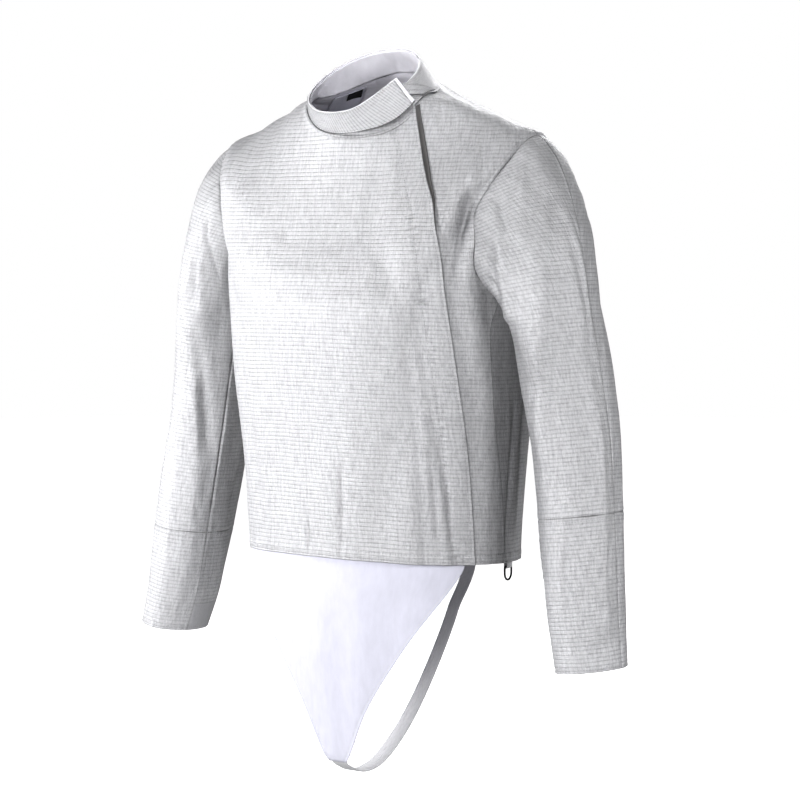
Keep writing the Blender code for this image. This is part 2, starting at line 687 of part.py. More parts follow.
def make_loop(webbing):
    """Webbing folded round the bar of the ring, both ends sewn inside the hem."""
    along, out, up, bar = ring_axis()
    inner, outer = WIRE / 2 + RING_CLEARANCE, WIRE / 2 + RING_CLEARANCE + LOOP_WALL
    top = LOOP_TOP + LOOP_DROP - outer
    bend = [math.pi * i / LOOP_BENDS for i in range(LOOP_BENDS + 1)]
    outside = [(outer * math.cos(turn), -outer * math.sin(turn)) for turn in bend]
    inside = [(-inner * math.cos(turn), -inner * math.sin(turn)) for turn in bend]
    outline = [(outer, top), *outside, (-outer, top), (-inner, top), *inside, (inner, top)]

    mesh = bpy.data.meshes.new("ring_webbing")
    shape = bmesh.new()
    verts = [shape.verts.new(bar + out * x + up * z - along * LOOP_WIDTH / 2) for x, z in outline]
    face = shape.faces.new(verts)
    pushed = bmesh.ops.extrude_face_region(shape, geom=[face])
    moved = [item for item in pushed["geom"] if isinstance(item, bmesh.types.BMVert)]
    bmesh.ops.translate(shape, verts=moved, vec=along * LOOP_WIDTH)
    bmesh.ops.recalc_face_normals(shape, faces=shape.faces)
    shape.to_mesh(mesh)
    shape.free()
    add_object("ring_webbing", mesh, webbing)


def make_ring(black):
    """D-ring: a straight bar on the hinge axis, closed by a round bow below it."""
    along, out, up, bar = ring_axis()
    half = (RING_WIDTH - WIRE) / 2
    drop = RING_HEIGHT - WIRE
    points = []
    for i in range(BOW_STEPS + 1):
        turn = math.pi * i / BOW_STEPS
        points.append((half * math.cos(turn), half - drop - half * math.sin(turn)))
    left_corner = []
    for i in range(CORNER_STEPS + 1):
        turn = math.pi / 2 * i / CORNER_STEPS
        x = half - RING_CORNER * (1.0 - math.cos(turn))
        left_corner.append((x, RING_CORNER * (math.sin(turn) - 1.0)))
    points += [(-x, z) for x, z in left_corner] + left_corner[::-1]

    curve = bpy.data.curves.new("d_ring", "CURVE")
    curve.dimensions = "3D"
    curve.bevel_depth = WIRE / 2
    curve.bevel_resolution = 2
    spline = curve.splines.new("POLY")
    spline.points.add(len(points) - 1)
    for spot, (x, z) in zip(spline.points, points):
        spot.co = (x, 0.0, z, 1.0)
    spline.use_cyclic_u = True
    curve.materials.append(black)
    ring = bpy.data.objects.new("d_ring", curve)
    bpy.context.scene.collection.objects.link(ring)
    turn = Matrix((along, -out, up)).transposed().to_4x4()
    ring.matrix_world = Matrix.Translation(bar) @ turn


def main():
    start_empty()
    lame = material("lame_cloth", LAME_GREY, 0.45, 0.6)
    lining = material("collar_lining", PALE_LINING, 0.85)
    white = material("white_cloth", WHITE_CLOTH, 0.85)
    knit = material("gusset_knit", STRAP_GREY, 0.9)
    elastic = material("elastic", STRAP_GREY, 0.9)
    dark = material("dark_tag", TAG_DARK, 0.8)
    black = material("black_metal", RING_BLACK, 0.35, 0.8)

    make_body(lame)
    make_placket_tape(lame)
    for side in (RIGHT, LEFT):
        make_sleeve(side, lame, knit)
    make_collar(lame, lining)
    make_labels(white, dark)
    make_crotch(white)
    make_strap(elastic)
    make_loop(elastic)
    make_ring(black)


main()
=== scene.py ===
"""Looks of a sabre fencing lame: creased cloth shells, seams, stitching and woven finishes.

The cloth follows the same surfaces as the solids: torso(angle, v) round the wearer from the collar
seam (v 0) to the hem (1), and sleeve(side, theta, s) from the armhole (s 0) to the cuff (1). Every
shell is a fine grid on one of them, raised by its folds, creases, seams and puckers. Its UV map is
the flat cloth in metres: U along the ribs of the weave and V across them.
"""
import math
from collections import namedtuple

import bmesh
import bpy
import numpy as np
from mathutils import Matrix, Vector, kdtree, noise


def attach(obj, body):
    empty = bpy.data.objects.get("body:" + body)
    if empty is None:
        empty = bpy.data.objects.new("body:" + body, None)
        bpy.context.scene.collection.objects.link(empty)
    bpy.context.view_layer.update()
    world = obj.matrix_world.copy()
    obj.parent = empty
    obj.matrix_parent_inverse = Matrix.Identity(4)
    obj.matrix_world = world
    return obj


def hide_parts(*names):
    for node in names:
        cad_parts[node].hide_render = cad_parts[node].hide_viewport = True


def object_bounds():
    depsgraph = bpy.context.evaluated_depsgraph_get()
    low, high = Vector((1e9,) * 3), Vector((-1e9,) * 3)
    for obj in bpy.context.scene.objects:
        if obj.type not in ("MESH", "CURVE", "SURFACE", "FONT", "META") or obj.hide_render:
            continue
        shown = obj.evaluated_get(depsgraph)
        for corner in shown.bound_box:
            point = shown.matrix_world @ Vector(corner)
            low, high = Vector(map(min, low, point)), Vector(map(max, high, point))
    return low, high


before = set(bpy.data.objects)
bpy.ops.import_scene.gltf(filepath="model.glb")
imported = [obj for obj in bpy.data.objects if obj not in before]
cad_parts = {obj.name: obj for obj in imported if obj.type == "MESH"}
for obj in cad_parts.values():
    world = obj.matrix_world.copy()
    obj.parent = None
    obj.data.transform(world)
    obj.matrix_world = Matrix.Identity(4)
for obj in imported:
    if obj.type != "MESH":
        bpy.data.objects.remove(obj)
cad_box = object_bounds()

RIGHT, LEFT = -1, 1
SIDES = {"left": LEFT, "right": RIGHT}
SPACING = 0.0028
CLOTH = 0.0015
SEAM_GAP = 0.0003
FACET_ROOM = 0.0006
LAYER = CLOTH + SEAM_GAP
BODY_STEP, SLEEVE_STEP, COLLAR_STEP = (0.5, 0.002), (0.5, 0.003), (0.5, -0.01)

# Body: one row for each ring round the wearer, from the collar seam down to the hem.
Ring = namedtuple("Ring", "v half_width front back y_mid z_side z_front z_back square")
RINGS = (
    Ring(0.00, 0.0750, 0.0680, 0.0680, -0.0080, 0.000, -0.045, 0.030, 2.00),
    Ring(0.08, 0.1050, 0.0800, 0.0850, 0.0030, -0.009, -0.072, 0.010, 2.00),
    Ring(0.17, 0.1400, 0.0960, 0.1000, 0.0140, -0.022, -0.105, -0.017, 2.00),
    Ring(0.27, 0.1780, 0.1090, 0.1140, 0.0190, -0.037, -0.140, -0.053, 2.05),
    Ring(0.34, 0.2050, 0.1150, 0.1220, 0.0190, -0.049, -0.165, -0.085, 2.10),
    Ring(0.45, 0.2020, 0.1170, 0.1300, 0.0140, -0.092, -0.185, -0.128, 2.15),
    Ring(0.55, 0.1980, 0.1220, 0.1310, 0.0120, -0.145, -0.210, -0.172, 2.20),
    Ring(0.66, 0.1930, 0.1250, 0.1290, 0.0120, -0.215, -0.245, -0.232, 2.20),
    Ring(0.76, 0.1870, 0.1220, 0.1240, 0.0130, -0.302, -0.310, -0.308, 2.20),
    Ring(0.88, 0.1780, 0.1150, 0.1170, 0.0135, -0.410, -0.410, -0.412, 2.15),
    Ring(1.00, 0.1710, 0.1100, 0.1110, 0.0136, -0.522, -0.517, -0.524, 2.10),
)
Lap = namedtuple("Lap", "v angle")
LAP_EDGE = (
    Lap(0.00, 71.0), Lap(0.08, 55.5), Lap(0.17, 46.0), Lap(0.27, 40.5), Lap(0.34, 38.5),
    Lap(0.45, 41.0), Lap(0.55, 44.5), Lap(0.66, 48.0), Lap(0.76, 53.0), Lap(0.88, 60.5),
    Lap(1.00, 66.0),
)
UNDERLAP = 0.030
LAP_LIFT, LAP_FADE = 0.0040, 0.050
LAP_STITCH_INSET = 0.026
TAPE_WALL = 0.0008
TAPE_TOP, TAPE_BOTTOM = 0.045, 0.450
TAPE_SHOWN, TAPE_HIDDEN = 0.0060, 0.0090

# How far down the body the collar's lower edge laps, at angles round the neck
Drop = namedtuple("Drop", "angle v")
NECK_DROP = (
    Drop(-180.0, 0.000), Drop(-22.0, 0.000), Drop(5.0, 0.004), Drop(25.0, 0.028), Drop(36.0, 0.048),
    Drop(46.0, 0.056), Drop(58.0, 0.047), Drop(68.0, 0.034), Drop(84.0, 0.020), Drop(134.0, 0.004),
    Drop(155.0, 0.000), Drop(180.0, 0.000),
)
FREE_END_LEAN = 11.0

# Armholes, in the body's own angle and v
ARM_TOP, ARM_BOTTOM = 0.34, 0.66
ARM_TOP_ANGLE = 90.0
ARM_BOTTOM_ANGLE = {LEFT: 73.0, RIGHT: 88.0}
ARM_FRONT_REACH, ARM_BACK_REACH = 27.0, 38.0
ARM_FRONT_EASE = {LEFT: 7.0, RIGHT: 0.0}
SIDE_SEAM_EASE = {LEFT: 6.0, RIGHT: 0.0}
ARM_ROUND = 0.85
SIDE_SEAM_HEM_ANGLE = 86.0

# Sleeves: one row for each ring down the arm. x is measured outwards.
Arm = namedtuple("Arm", "z x y_left y_right half_x half_y")
ARMS = (
    Arm(-0.250, 0.2410, 0.0030, 0.0250, 0.0450, 0.0650),
    Arm(-0.320, 0.2510, 0.0100, 0.0210, 0.0440, 0.0610),
    Arm(-0.390, 0.2600, 0.0150, 0.0160, 0.0430, 0.0570),
    Arm(-0.500, 0.2730, 0.0070, 0.0050, 0.0420, 0.0530),
    Arm(-0.576, 0.2820, 0.0010, -0.0040, 0.0400, 0.0480),
    Arm(-0.627, 0.2930, -0.0060, -0.0110, 0.0375, 0.0430),
)
CAP_SHARE = 0.34
CAP_LEAVE, CAP_FULLNESS, CAP_ARRIVE = 0.75, 0.20, 0.85
CAP_OUT, CAP_OUT_TOP = 0.72, 0.22
CAP_DOWN, CAP_DOWN_TOP = 0.60, 0.20
CAP_BACK, CAP_BACK_TOP, CAP_SHIFT = 0.32, 0.22, 0.80
RING_TILT = 0.12
INNER_SEAM = 205.0
CROSS_SEAM_Z = {LEFT: -0.462, RIGHT: -0.508}
GUSSET_ANGLE, GUSSET_HEIGHT = 144.0, 0.032

# Collar
COLLAR_WALL = 0.0018
RIM_HALF_WIDTH, RIM_DEPTH = 0.0655, 0.0600
RIM_Y, RIM_Z, RIM_RISE = -0.0225, 0.0160, 0.0386
COLLAR_FREE_END, COLLAR_UNDER_END = 72.0, 48.0
COLLAR_LIFT = 0.0052
FREE_END_RISE, FREE_END_LIFT, FREE_END_SLANT = 0.012, 0.0022, 5.0
COLLAR_END = COLLAR_UNDER_END - 360.0
LINING_START = 43.2
TAB_START, TAB_END, TAB_WALL = 58.0, 77.0, 0.0012
TAB_TOP, TAB_BOTTOM, TAB_SLANT, TAB_COVERED = 1.07, 0.02, 17.0, 0.25
BINDING_WALL = 0.0010
COLLAR_RADIUS, COLLAR_HEIGHT = 0.072, 0.050
LINING_LOW, LINING_HIGH = 0.02, 0.97
LABEL_WALL = 0.0010
Label = namedtuple("Label", "angle width top bottom")
CARE_LABEL = Label(234.0, 0.040, 0.012, 0.150)
SIZE_LABEL = Label(229.0, 0.018, 0.014, 0.050)

# Crotch panel, strap, webbing loop and ring
Crotch = namedtuple("Crotch", "z half_width y_middle y_edge")
CROTCH = (
    Crotch(-0.505, 0.150, -0.0930, -0.0350),
    Crotch(-0.530, 0.147, -0.0930, -0.0360),
    Crotch(-0.579, 0.118, -0.0920, -0.0640),
    Crotch(-0.629, 0.083, -0.0900, -0.0760),
    Crotch(-0.686, 0.0460, -0.0850, -0.0800),
    Crotch(-0.742, 0.0190, -0.0775, -0.0775),
    Crotch(-0.752, 0.0120, -0.0745, -0.0745),
)
CROTCH_WALL = 0.0012
CROTCH_STITCH_INSET, CROTCH_EDGE_SLANT = 0.0035, 0.85
CROTCH_FREE_TOP, CROTCH_FREE_BOTTOM = -0.525, -0.600
Way = namedtuple("Way", "x y z")
STRAP_ROUTE = (
    Way(0.000, -0.0730, -0.7330), Way(0.000, -0.0690, -0.7520), Way(0.003, -0.0460, -0.7660),
    Way(0.007, -0.0180, -0.7640), Way(0.012, 0.0070, -0.7480), Way(0.019, 0.0340, -0.7180),
    Way(0.028, 0.0620, -0.6720), Way(0.040, 0.0900, -0.6080), Way(0.050, 0.1120, -0.5380),
    Way(0.052, 0.1165, -0.5080),
)
STRAP_WIDTH, STRAP_WALL, STRAP_TURN = 0.020, 0.0014, 20.0
STRAP_SEAT_ANGLE = 162.4
STRAP_FRONT_SEAT, STRAP_BACK_SEAT = (0.09, 0.17), (0.80, 0.90)
LOOP_ANGLE, LOOP_WIDTH, LOOP_WALL = 95.0, 0.0115, 0.0010
LOOP_TOP, LOOP_DROP = 0.020, 0.0078
WIRE = 0.0022
RING_WIDTH, RING_HEIGHT, RING_CORNER = 0.0185, 0.0175, 0.0015
RING_CLEARANCE = 0.0004

# Largest folds. Each is an ellipse on its surface. The solids have them too, all but the last of the
# body, which fills out the front of the right armhole.
Fold = namedtuple("Fold", "at along reach length lean height")
FOLD_SHARE = {LEFT: 1.0, RIGHT: 0.6}
BODY_FOLDS = (
    Fold(52.0, 0.500, 5.0, 0.110, -10.0, -0.0050),
    Fold(47.0, 0.420, 5.0, 0.120, -8.0, 0.0030),
    Fold(-58.0, 0.600, 7.0, 0.110, 20.0, -0.0040),
    Fold(150.0, 0.520, 8.0, 0.140, 20.0, -0.0040),
    Fold(-150.0, 0.520, 8.0, 0.140, -20.0, -0.0040),
    Fold(-20.0, 0.900, 7.0, 0.100, 0.0, -0.0020),
    Fold(28.0, 0.880, 7.0, 0.120, -6.0, -0.0030),
    Fold(180.0, 0.800, 12.0, 0.150, 0.0, -0.0030),
    Fold(-66.0, 0.430, 13.0, 0.120, 0.0, 0.0100),
)
SLEEVE_FOLDS = (
    Fold(258.0, 0.240, 20.0, 0.110, 25.0, -0.0030),
    Fold(290.0, 0.330, 18.0, 0.150, -20.0, 0.0035),
    Fold(250.0, 0.430, 24.0, 0.110, 30.0, -0.0030),
    Fold(265.0, 0.560, 24.0, 0.110, 30.0, 0.0030),
    Fold(320.0, 0.520, 16.0, 0.140, 0.0, -0.0030),
    Fold(100.0, 0.440, 32.0, 0.110, 25.0, -0.0035),
    Fold(60.0, 0.250, 20.0, 0.100, -20.0, -0.0035),
    Fold(280.0, 0.800, 18.0, 0.120, 0.0, -0.0025),
)

# The tables of creases and ridges give widths, heights, reaches and bows in millimetres
def in_metres(kind, fields, rows):
    made = (kind(*row) for row in rows)
    return tuple(row._replace(**{name: getattr(row, name) / 1000 for name in fields}) for row in made)


# Creases run from one place on a surface to another, in its own coordinates. width is the half width,
# height is over 0 for a ridge, skew makes it a step, and bow bends it sideways.
Crease = namedtuple("Crease", "a0 b0 a1 b1 width height skew bow", defaults=(0.0, 0.0))


def creases(*rows):
    return in_metres(Crease, ("width", "height", "bow"), rows)


BODY_CREASES = creases(
    (8.8, 0.87, 8.2, 1.025, 3, -3.4, 0.6), (-7, 0.94, -7.2, 1.01, 2.8, -2.8, 0.6),
    (34, 0.7, 43, 1.04, 5, -1.8), (43, 0.86, 49, 0.995, 3.4, -2.6), (47, 0.84, 54, 0.985, 3, -2.4),
    (52, 0.35, 51, 0.64, 7, -7.8, 0.2, -4), (70, 0.235, 59, 0.42, 2.6, -1.4),
    (78, 0.03, 61, 0.11, 2.2, -1.3), (83, 0.05, 61.5, 0.135, 2.2, -1.3), (60, 0.58, 71, 0.615, 3, -2.2),
    (61, 0.61, 76, 0.668, 4, -3.5), (20, 0.36, 30, 0.66, 12, -2.2), (45, 0.07, 29, 0.29, 4, -1),
    (-71, 0.345, -62, 0.405, 3, -2.2), (-40, 0.7, -38, 1, 10, -1.6), (-20, 0.55, -16, 0.95, 12, -1.3),
    (88, 0.8, 87, 1, 4, -2.6), (98, 0.7, 100, 0.99, 6, -3.5), (112, 0.72, 118, 1, 8, -3.5),
    (150, 0.3, 165, 0.9, 12, -2.6), (210, 0.3, 198, 0.92, 12, -2.6), (181, 0.45, 178, 1, 10, -2.2),
    (248, 0.68, 238, 1, 8, -3.2), (264, 0.74, 260, 1, 5, -2.6), (140, 0.12, 124, 0.4, 9, -2.6),
    (222, 0.12, 236, 0.4, 9, -2.6),
)
SLEEVE_CREASES = {
    LEFT: creases(
        (330, 0.028, 301, 0.15, 4, 2.1), (298, 0.03, 291, 0.13, 6, -4.2),
        (291, 0.05, 268, 0.205, 3.8, 2.9), (270, 0.175, 231, 0.39, 3.8, 2.6),
        (341, 0.14, 357, 0.43, 4.2, 2.9), (349, 0.14, 361, 0.4, 2.6, -1.8),
        (262, 0.08, 273, 0.175, 3, -3.2), (254, 0.09, 250, 0.195, 4, -4.8),
        (238, 0.11, 240, 0.24, 5, -4.8), (345.5, 0.75, 337, 0.89, 2, -1.5, 0.5),
        (289, 0.67, 274, 0.8, 3, 1.6), (275, 0.77, 270, 0.91, 2.8, 1.4), (281, 0.75, 259, 0.87, 3, 1.3),
        (316, 0.8, 310, 0.885, 2, -1.3), (300, 0.85, 296, 0.945, 2, -1.3),
        (322, 0.56, 316, 0.69, 4, -1.6), (262, 0.44, 246, 0.56, 4, -1.9),
    ),
    RIGHT: creases(
        (284, 0.06, 268, 0.118, 2.4, -3.2), (271, 0.104, 230, 0.166, 2.6, -3),
        (287, 0.335, 284, 0.36, 1.5, -1.1), (258, 0.35, 219, 0.64, 7, -3.8),
        (268, 0.35, 236, 0.63, 3, 1.5), (232, 0.71, 219, 0.78, 1.6, -1.3),
        (251, 0.66, 250, 0.705, 1.5, -1.1), (280, 0.16, 262, 0.33, 5, -1.9),
        (340, 0.3, 330, 0.55, 5.5, -2.2),
    ),
}
BOTH_SLEEVE_CREASES = creases(
    (60, 0.35, 110, 0.5, 5, -2.9), (80, 0.43, 135, 0.49, 4.5, -2.6), (40, 0.58, 60, 0.85, 4.5, -1.9),
    (110, 0.2, 140, 0.36, 5.5, -3.2), (150, 0.56, 170, 0.76, 5, -2.2),
)


# Ridges are crisp folded edges down a surface, through places given in its own coordinates. before and
# after are the reach of their sides, and fade is the share of the run over which one dies out.
Ridge = namedtuple("Ridge", "path before after height fade", defaults=(0.3,))


def ridges(*rows):
    return in_metres(Ridge, ("before", "after", "height"), rows)


BODY_RIDGES = ridges(
    (((36, 0.6), (38, 0.706), (45, 0.84), (51, 0.924), (56.5, 1)), 10, 34, -4.5, 0),
    (((28, 0.56), (29.2, 0.698), (31.8, 0.84), (36, 0.926), (39, 1)), 110, 18, 6.8, 0),
    (((15, 0.5), (12, 0.75), (13, 1)), 30, 22, 2.2, 0),
    (((-42, 0.45), (-48, 0.7), (-46, 0.95)), 26, 30, 2.2),
    (((120, 0.45), (127, 0.7), (131, 1)), 20, 30, 4, 0),
    (((238, 0.45), (229, 0.7), (226, 1)), 30, 20, 4, 0),
    (((166, 0.25), (171, 0.6), (170, 1)), 26, 30, 2.8, 0),
    (((196, 0.3), (190, 0.6), (193, 0.95)), 30, 26, 2.4),
)
SLEEVE_RIDGES = {
    LEFT: ridges(
        (((337, 0.11), (319.5, 0.188), (308.2, 0.238), (294.2, 0.34), (281.5, 0.432), (276, 0.48)), 26,
         7.5, 5.8),
        (((334, 0.13), (338, 0.23), (341, 0.322), (350, 0.41)), 8, 20, 3.6),
        (((326, 0.035), (304.5, 0.1), (284.2, 0.162), (279, 0.19)), 10, 26, 2.2),
        (((281, 0.11), (252.2, 0.217), (228, 0.352), (224, 0.39)), 12, 9, 5),
        (((302, 0.5), (300, 0.64), (290, 0.8)), 26, 12, 2.6),
        (((264, 0.43), (258, 0.6), (250, 0.72)), 20, 12, 2.6),
        (((342, 0.43), (340, 0.6), (338, 0.75), (334, 0.96)), 30, 9, 6, 0.1),
    ),
    RIGHT: ridges(
        (((262, 0.16), (252, 0.33), (246, 0.5), (231, 0.6)), 8, 26, 4.8),
        (((243, 0.52), (232, 0.66), (226, 0.8)), 10, 22, 2.8),
        (((300, 0.12), (298, 0.3), (292, 0.48)), 18, 26, 2.4),
        (((270, 0.6), (268, 0.75), (264, 0.96)), 20, 24, 2.2),
    ),
}
BOTH_SLEEVE_RIDGES = ridges(
    (((60, 0.3), (72, 0.5), (84, 0.7)), 20, 14, 3), (((130, 0.35), (120, 0.6), (110, 0.8)), 16, 22, 3),
)

# Relief beside a seam: puff of the cloth, depth of its stitch rows, their distance from the seam, and
# puckers with their height, pitch and reach.
Seam = namedtuple("Seam", "puff bite rows pucker pitch reach seed")
PLAIN_SEAM = Seam(0.0003, 0.0, (), 0.00020, 0.0110, 0.0060, 1.0)
TOPSTITCHED_SEAM = Seam(0.0004, 0.0002, (0.0050,), 0.00030, 0.0100, 0.0070, 2.0)
LAP_STITCH = Seam(0.0, 0.0004, (LAP_STITCH_INSET,), 0.00055, 0.0080, 0.0075, 3.0)
LAP_BORDER = Seam(0.0, 0.0003, (0.0040,), 0.00020, 0.0120, 0.0060, 4.0)
HEM = Seam(0.0, 0.0003, (0.0035, 0.0100), 0.00030, 0.0130, 0.0070, 5.0)
CUFF_HEM = Seam(0.0, 0.0003, (0.0035,), 0.00020, 0.0110, 0.0060, 6.0)
NECK_SEAM = Seam(0.0016, 0.0003, (0.0065,), 0.00020, 0.0100, 0.0050, 7.0)


# Surfaces

def smooth(value, low, high):
    """0 below low and 1 above high, with a soft step between."""
    share = np.clip((np.asarray(value, float) - low) / (high - low), 0.0, 1.0)
    return share * share * (3 - 2 * share)


def blend(low, high, share):
    return low + (high - low) * share


def bell(value, width):
    return np.exp(-(value / width) ** 2)


def curve(start, end, leave, arrive, t):
    """A smooth curve from start to end, with leave and arrive as its slopes there."""
    return (start * (1 + 2 * t) * (1 - t) ** 2 + end * t * t * (3 - 2 * t)
            + leave * t * (1 - t) ** 2 + arrive * t * t * (t - 1))


def read(table, key, column):
    """A column of a table at any values of its first column, on a smooth curve through the rows."""
    keys = np.array([row[0] for row in table])
    values = np.array([getattr(row, column) for row in table])
    sign = 1 if keys[-1] > keys[0] else -1
    keys, key = sign * keys, sign * np.asarray(key, float)
    slopes = np.gradient(values, keys, edge_order=1)
    slopes[1:-1] = (values[2:] - values[:-2]) / (keys[2:] - keys[:-2])
    i = np.clip(np.searchsorted(keys, key, side="right") - 1, 0, len(keys) - 2)
    step = keys[i + 1] - keys[i]
    t = (key - keys[i]) / step
    return curve(values[i], values[i + 1], slopes[i] * step, slopes[i + 1] * step, t)


def stacked(x, y, z):
    return np.stack(np.broadcast_arrays(x, y, z), axis=-1).astype(float)


def unit(vectors):
    return vectors / np.linalg.norm(vectors, axis=-1, keepdims=True)


def gaps(points, axis=0):
    """Distances from each point to the next one."""
    return np.linalg.norm(np.diff(points, axis=axis), axis=-1)


def run_along(points):
    """How far along its line each point lies."""
    return np.concatenate([[0.0], np.cumsum(gaps(points))])


def grid(across, down):
    return np.broadcast_arrays(across[None, :], down[:, None])


def paired(u, v):
    """Flat cloth coordinates as one array."""
    return np.stack(np.broadcast_arrays(u, v), axis=-1)


def outward(surface, a, b, steps):
    """Normals of a surface at arrays of its coordinates."""
    across = surface(a + steps[0], b) - surface(a - steps[0], b)
    down = surface(a, b + steps[1]) - surface(a, b - steps[1])
    return unit(np.cross(down, across))


def fold_height(folds, angle, along):
    height = np.zeros(np.broadcast(angle, along).shape)
    for fold in folds:
        turn = (angle - fold.at + 180.0) % 360.0 - 180.0
        run = along - fold.along
        turn = turn - fold.lean * run / fold.length
        height += fold.height * np.exp(-(turn / fold.reach) ** 2 - (run / fold.length) ** 2)
    return height


def torso_base(angle, v):
    ring = {name: read(RINGS, v, name) for name in Ring._fields[1:]}
    sine, cosine = np.sin(np.radians(angle)), np.cos(np.radians(angle))
    power = ring["square"]
    radius = (np.abs(sine) ** power + np.abs(cosine) ** power) ** (-1 / power)
    depth = np.where(cosine > 0, ring["front"], ring["back"])
    end = np.where(cosine > 0, ring["z_front"], ring["z_back"])
    height = ring["z_side"] + (end - ring["z_side"]) * cosine * cosine
    return stacked(ring["half_width"] * radius * sine, ring["y_mid"] - depth * radius * cosine, height)


def torso_normal(angle, v):
    return outward(torso_base, angle, v, BODY_STEP)


def torso(angle, v, out=0.0):
    """The body surface with its large folds, moved out."""
    lift = fold_height(BODY_FOLDS, angle, v) * smooth(v, 0.0, 0.06) + out
    return torso_base(angle, v) + torso_normal(angle, v) * np.asarray(lift)[..., None]


def side_line(side, v):
    bottom = ARM_BOTTOM_ANGLE[side]
    above = blend(ARM_TOP_ANGLE, bottom, smooth(v, ARM_TOP, ARM_BOTTOM))
    below = blend(bottom, SIDE_SEAM_HEM_ANGLE, smooth(v, ARM_BOTTOM, 1.0))
    below = below - SIDE_SEAM_EASE[side] * smooth(v, ARM_BOTTOM, 0.72) * (1.0 - smooth(v, 0.80, 1.0))
    return np.where(np.asarray(v) <= ARM_BOTTOM, above, below)


def round_share(v):
    middle = (ARM_TOP + ARM_BOTTOM) / 2
    height = (v - middle) / (middle - ARM_TOP)
    return np.maximum(1.0 - height * height, 0.0) ** (ARM_ROUND / 2)


def front_side(side, v):
    reach = ARM_FRONT_REACH - ARM_FRONT_EASE[side] * smooth(v, 0.46, 0.57)
    return side_line(side, v) - reach * round_share(v)


def back_side(side, v):
    return side_line(side, v) + ARM_BACK_REACH * round_share(v)


def armhole_v(theta):
    middle = (ARM_TOP + ARM_BOTTOM) / 2
    return middle - (middle - ARM_TOP) * np.cos(np.radians(theta))


def armhole_place(side, theta):
    """The body's own angle and v at places of the armhole."""
    turn = np.asarray(theta, float) % 360.0
    v = armhole_v(turn)
    return side * np.where(turn < 180.0, back_side(side, v), front_side(side, v)), v


def armhole(side, theta):
    return torso(*armhole_place(side, theta))


def arm_ring(side, theta, z):
    arm = {name: read(ARMS, z, name) for name in Arm._fields[1:]}
    sine, cosine = np.sin(np.radians(theta)), np.cos(np.radians(theta))
    y_mid = arm["y_left"] if side == LEFT else arm["y_right"]
    x = arm["x"] + arm["half_x"] * cosine
    return stacked(side * x, y_mid + arm["half_y"] * sine, z + RING_TILT * arm["half_x"] * cosine)


def arm_z(s):
    top, bottom = ARMS[0].z, ARMS[-1].z
    return top + (bottom - top) * (s - CAP_SHARE) / (1.0 - CAP_SHARE)


def arm_share(z):
    top, bottom = ARMS[0].z, ARMS[-1].z
    return CAP_SHARE + (1.0 - CAP_SHARE) * (z - top) / (bottom - top)


def cap_surface(side, theta, s):
    t = (s / CAP_SHARE)[..., None]
    start, end = armhole(side, theta), arm_ring(side, theta, ARMS[0].z)
    arriving = arm_ring(side, theta, ARMS[0].z - 0.01) - end
    reach = np.linalg.norm(end - start, axis=-1)
    sine, cosine = np.sin(np.radians(theta)), np.cos(np.radians(theta))
    top = np.maximum(cosine, 0.0)
    fullness = CAP_LEAVE + CAP_FULLNESS * top ** 2
    back = CAP_BACK * sine - CAP_BACK_TOP * top + CAP_SHIFT * (end - start)[..., 1] / reach
    leaving = unit(stacked(side * (CAP_OUT + CAP_OUT_TOP * cosine), back, CAP_DOWN_TOP * cosine - CAP_DOWN))
    leave = leaving * (reach * fullness)[..., None]
    arrive = unit(arriving) * (reach * CAP_ARRIVE)[..., None]
    return curve(start, end, leave, arrive, t)


def sleeve_base(side, theta, s):
    theta, s = np.broadcast_arrays(np.asarray(theta, float), np.asarray(s, float))
    below = arm_ring(side, theta, arm_z(np.maximum(s, CAP_SHARE)))
    cap = cap_surface(side, theta, np.minimum(s, CAP_SHARE))
    return np.where((s >= CAP_SHARE)[..., None], below, cap)


def sleeve_surface(side):
    return lambda theta, s: sleeve_base(side, theta, s)


def sleeve_normal(side, theta, s):
    return side * outward(sleeve_surface(side), theta, s, SLEEVE_STEP)


def sleeve_folds(side, theta, s):
    fade = smooth(s, 0.02, 0.20) * (1.0 - smooth(s, 0.92, 1.0)) * FOLD_SHARE[side]
    return fold_height(SLEEVE_FOLDS, theta, s) * fade


def inset_angle(angle, v, distance):
    """The angle that covers a distance round the body at one place."""
    step = np.linalg.norm(torso_base(angle + 0.5, v) - torso_base(angle - 0.5, v), axis=-1)
    return distance / step


def lap_edge(v):
    return read(LAP_EDGE, v, "angle")


def hidden_edge(v):
    return lap_edge(v) - inset_angle(lap_edge(v), v, UNDERLAP * smooth(v, 0.02, 0.12))


def lap_lift(angle, v):
    inside = (lap_edge(v) - angle) / inset_angle(angle, v, 1.0)
    below_collar = blend(0.55, 1.0, smooth(v, 0.0, 0.04))
    return LAP_LIFT * below_collar * (1.0 - smooth(inside, UNDERLAP, UNDERLAP + LAP_FADE))


def neck_edge(turn, top_layer):
    """The collar's lower edge, where it laps down over the body below its seam."""
    leaned = turn - FREE_END_LEAN * smooth(turn, 36.0, COLLAR_FREE_END) * top_layer
    v = np.maximum(read(NECK_DROP, (leaned + 180.0) % 360.0 - 180.0, "v"), 0.0)
    out = (COLLAR_WALL + SEAM_GAP + FACET_ROOM) * smooth(v, 0.0, 0.010)
    out = out + 0.0012 * smooth(turn, -20.0, 20.0) * top_layer
    return torso_base(leaned, v) + torso_normal(leaned, v) * out[..., None]


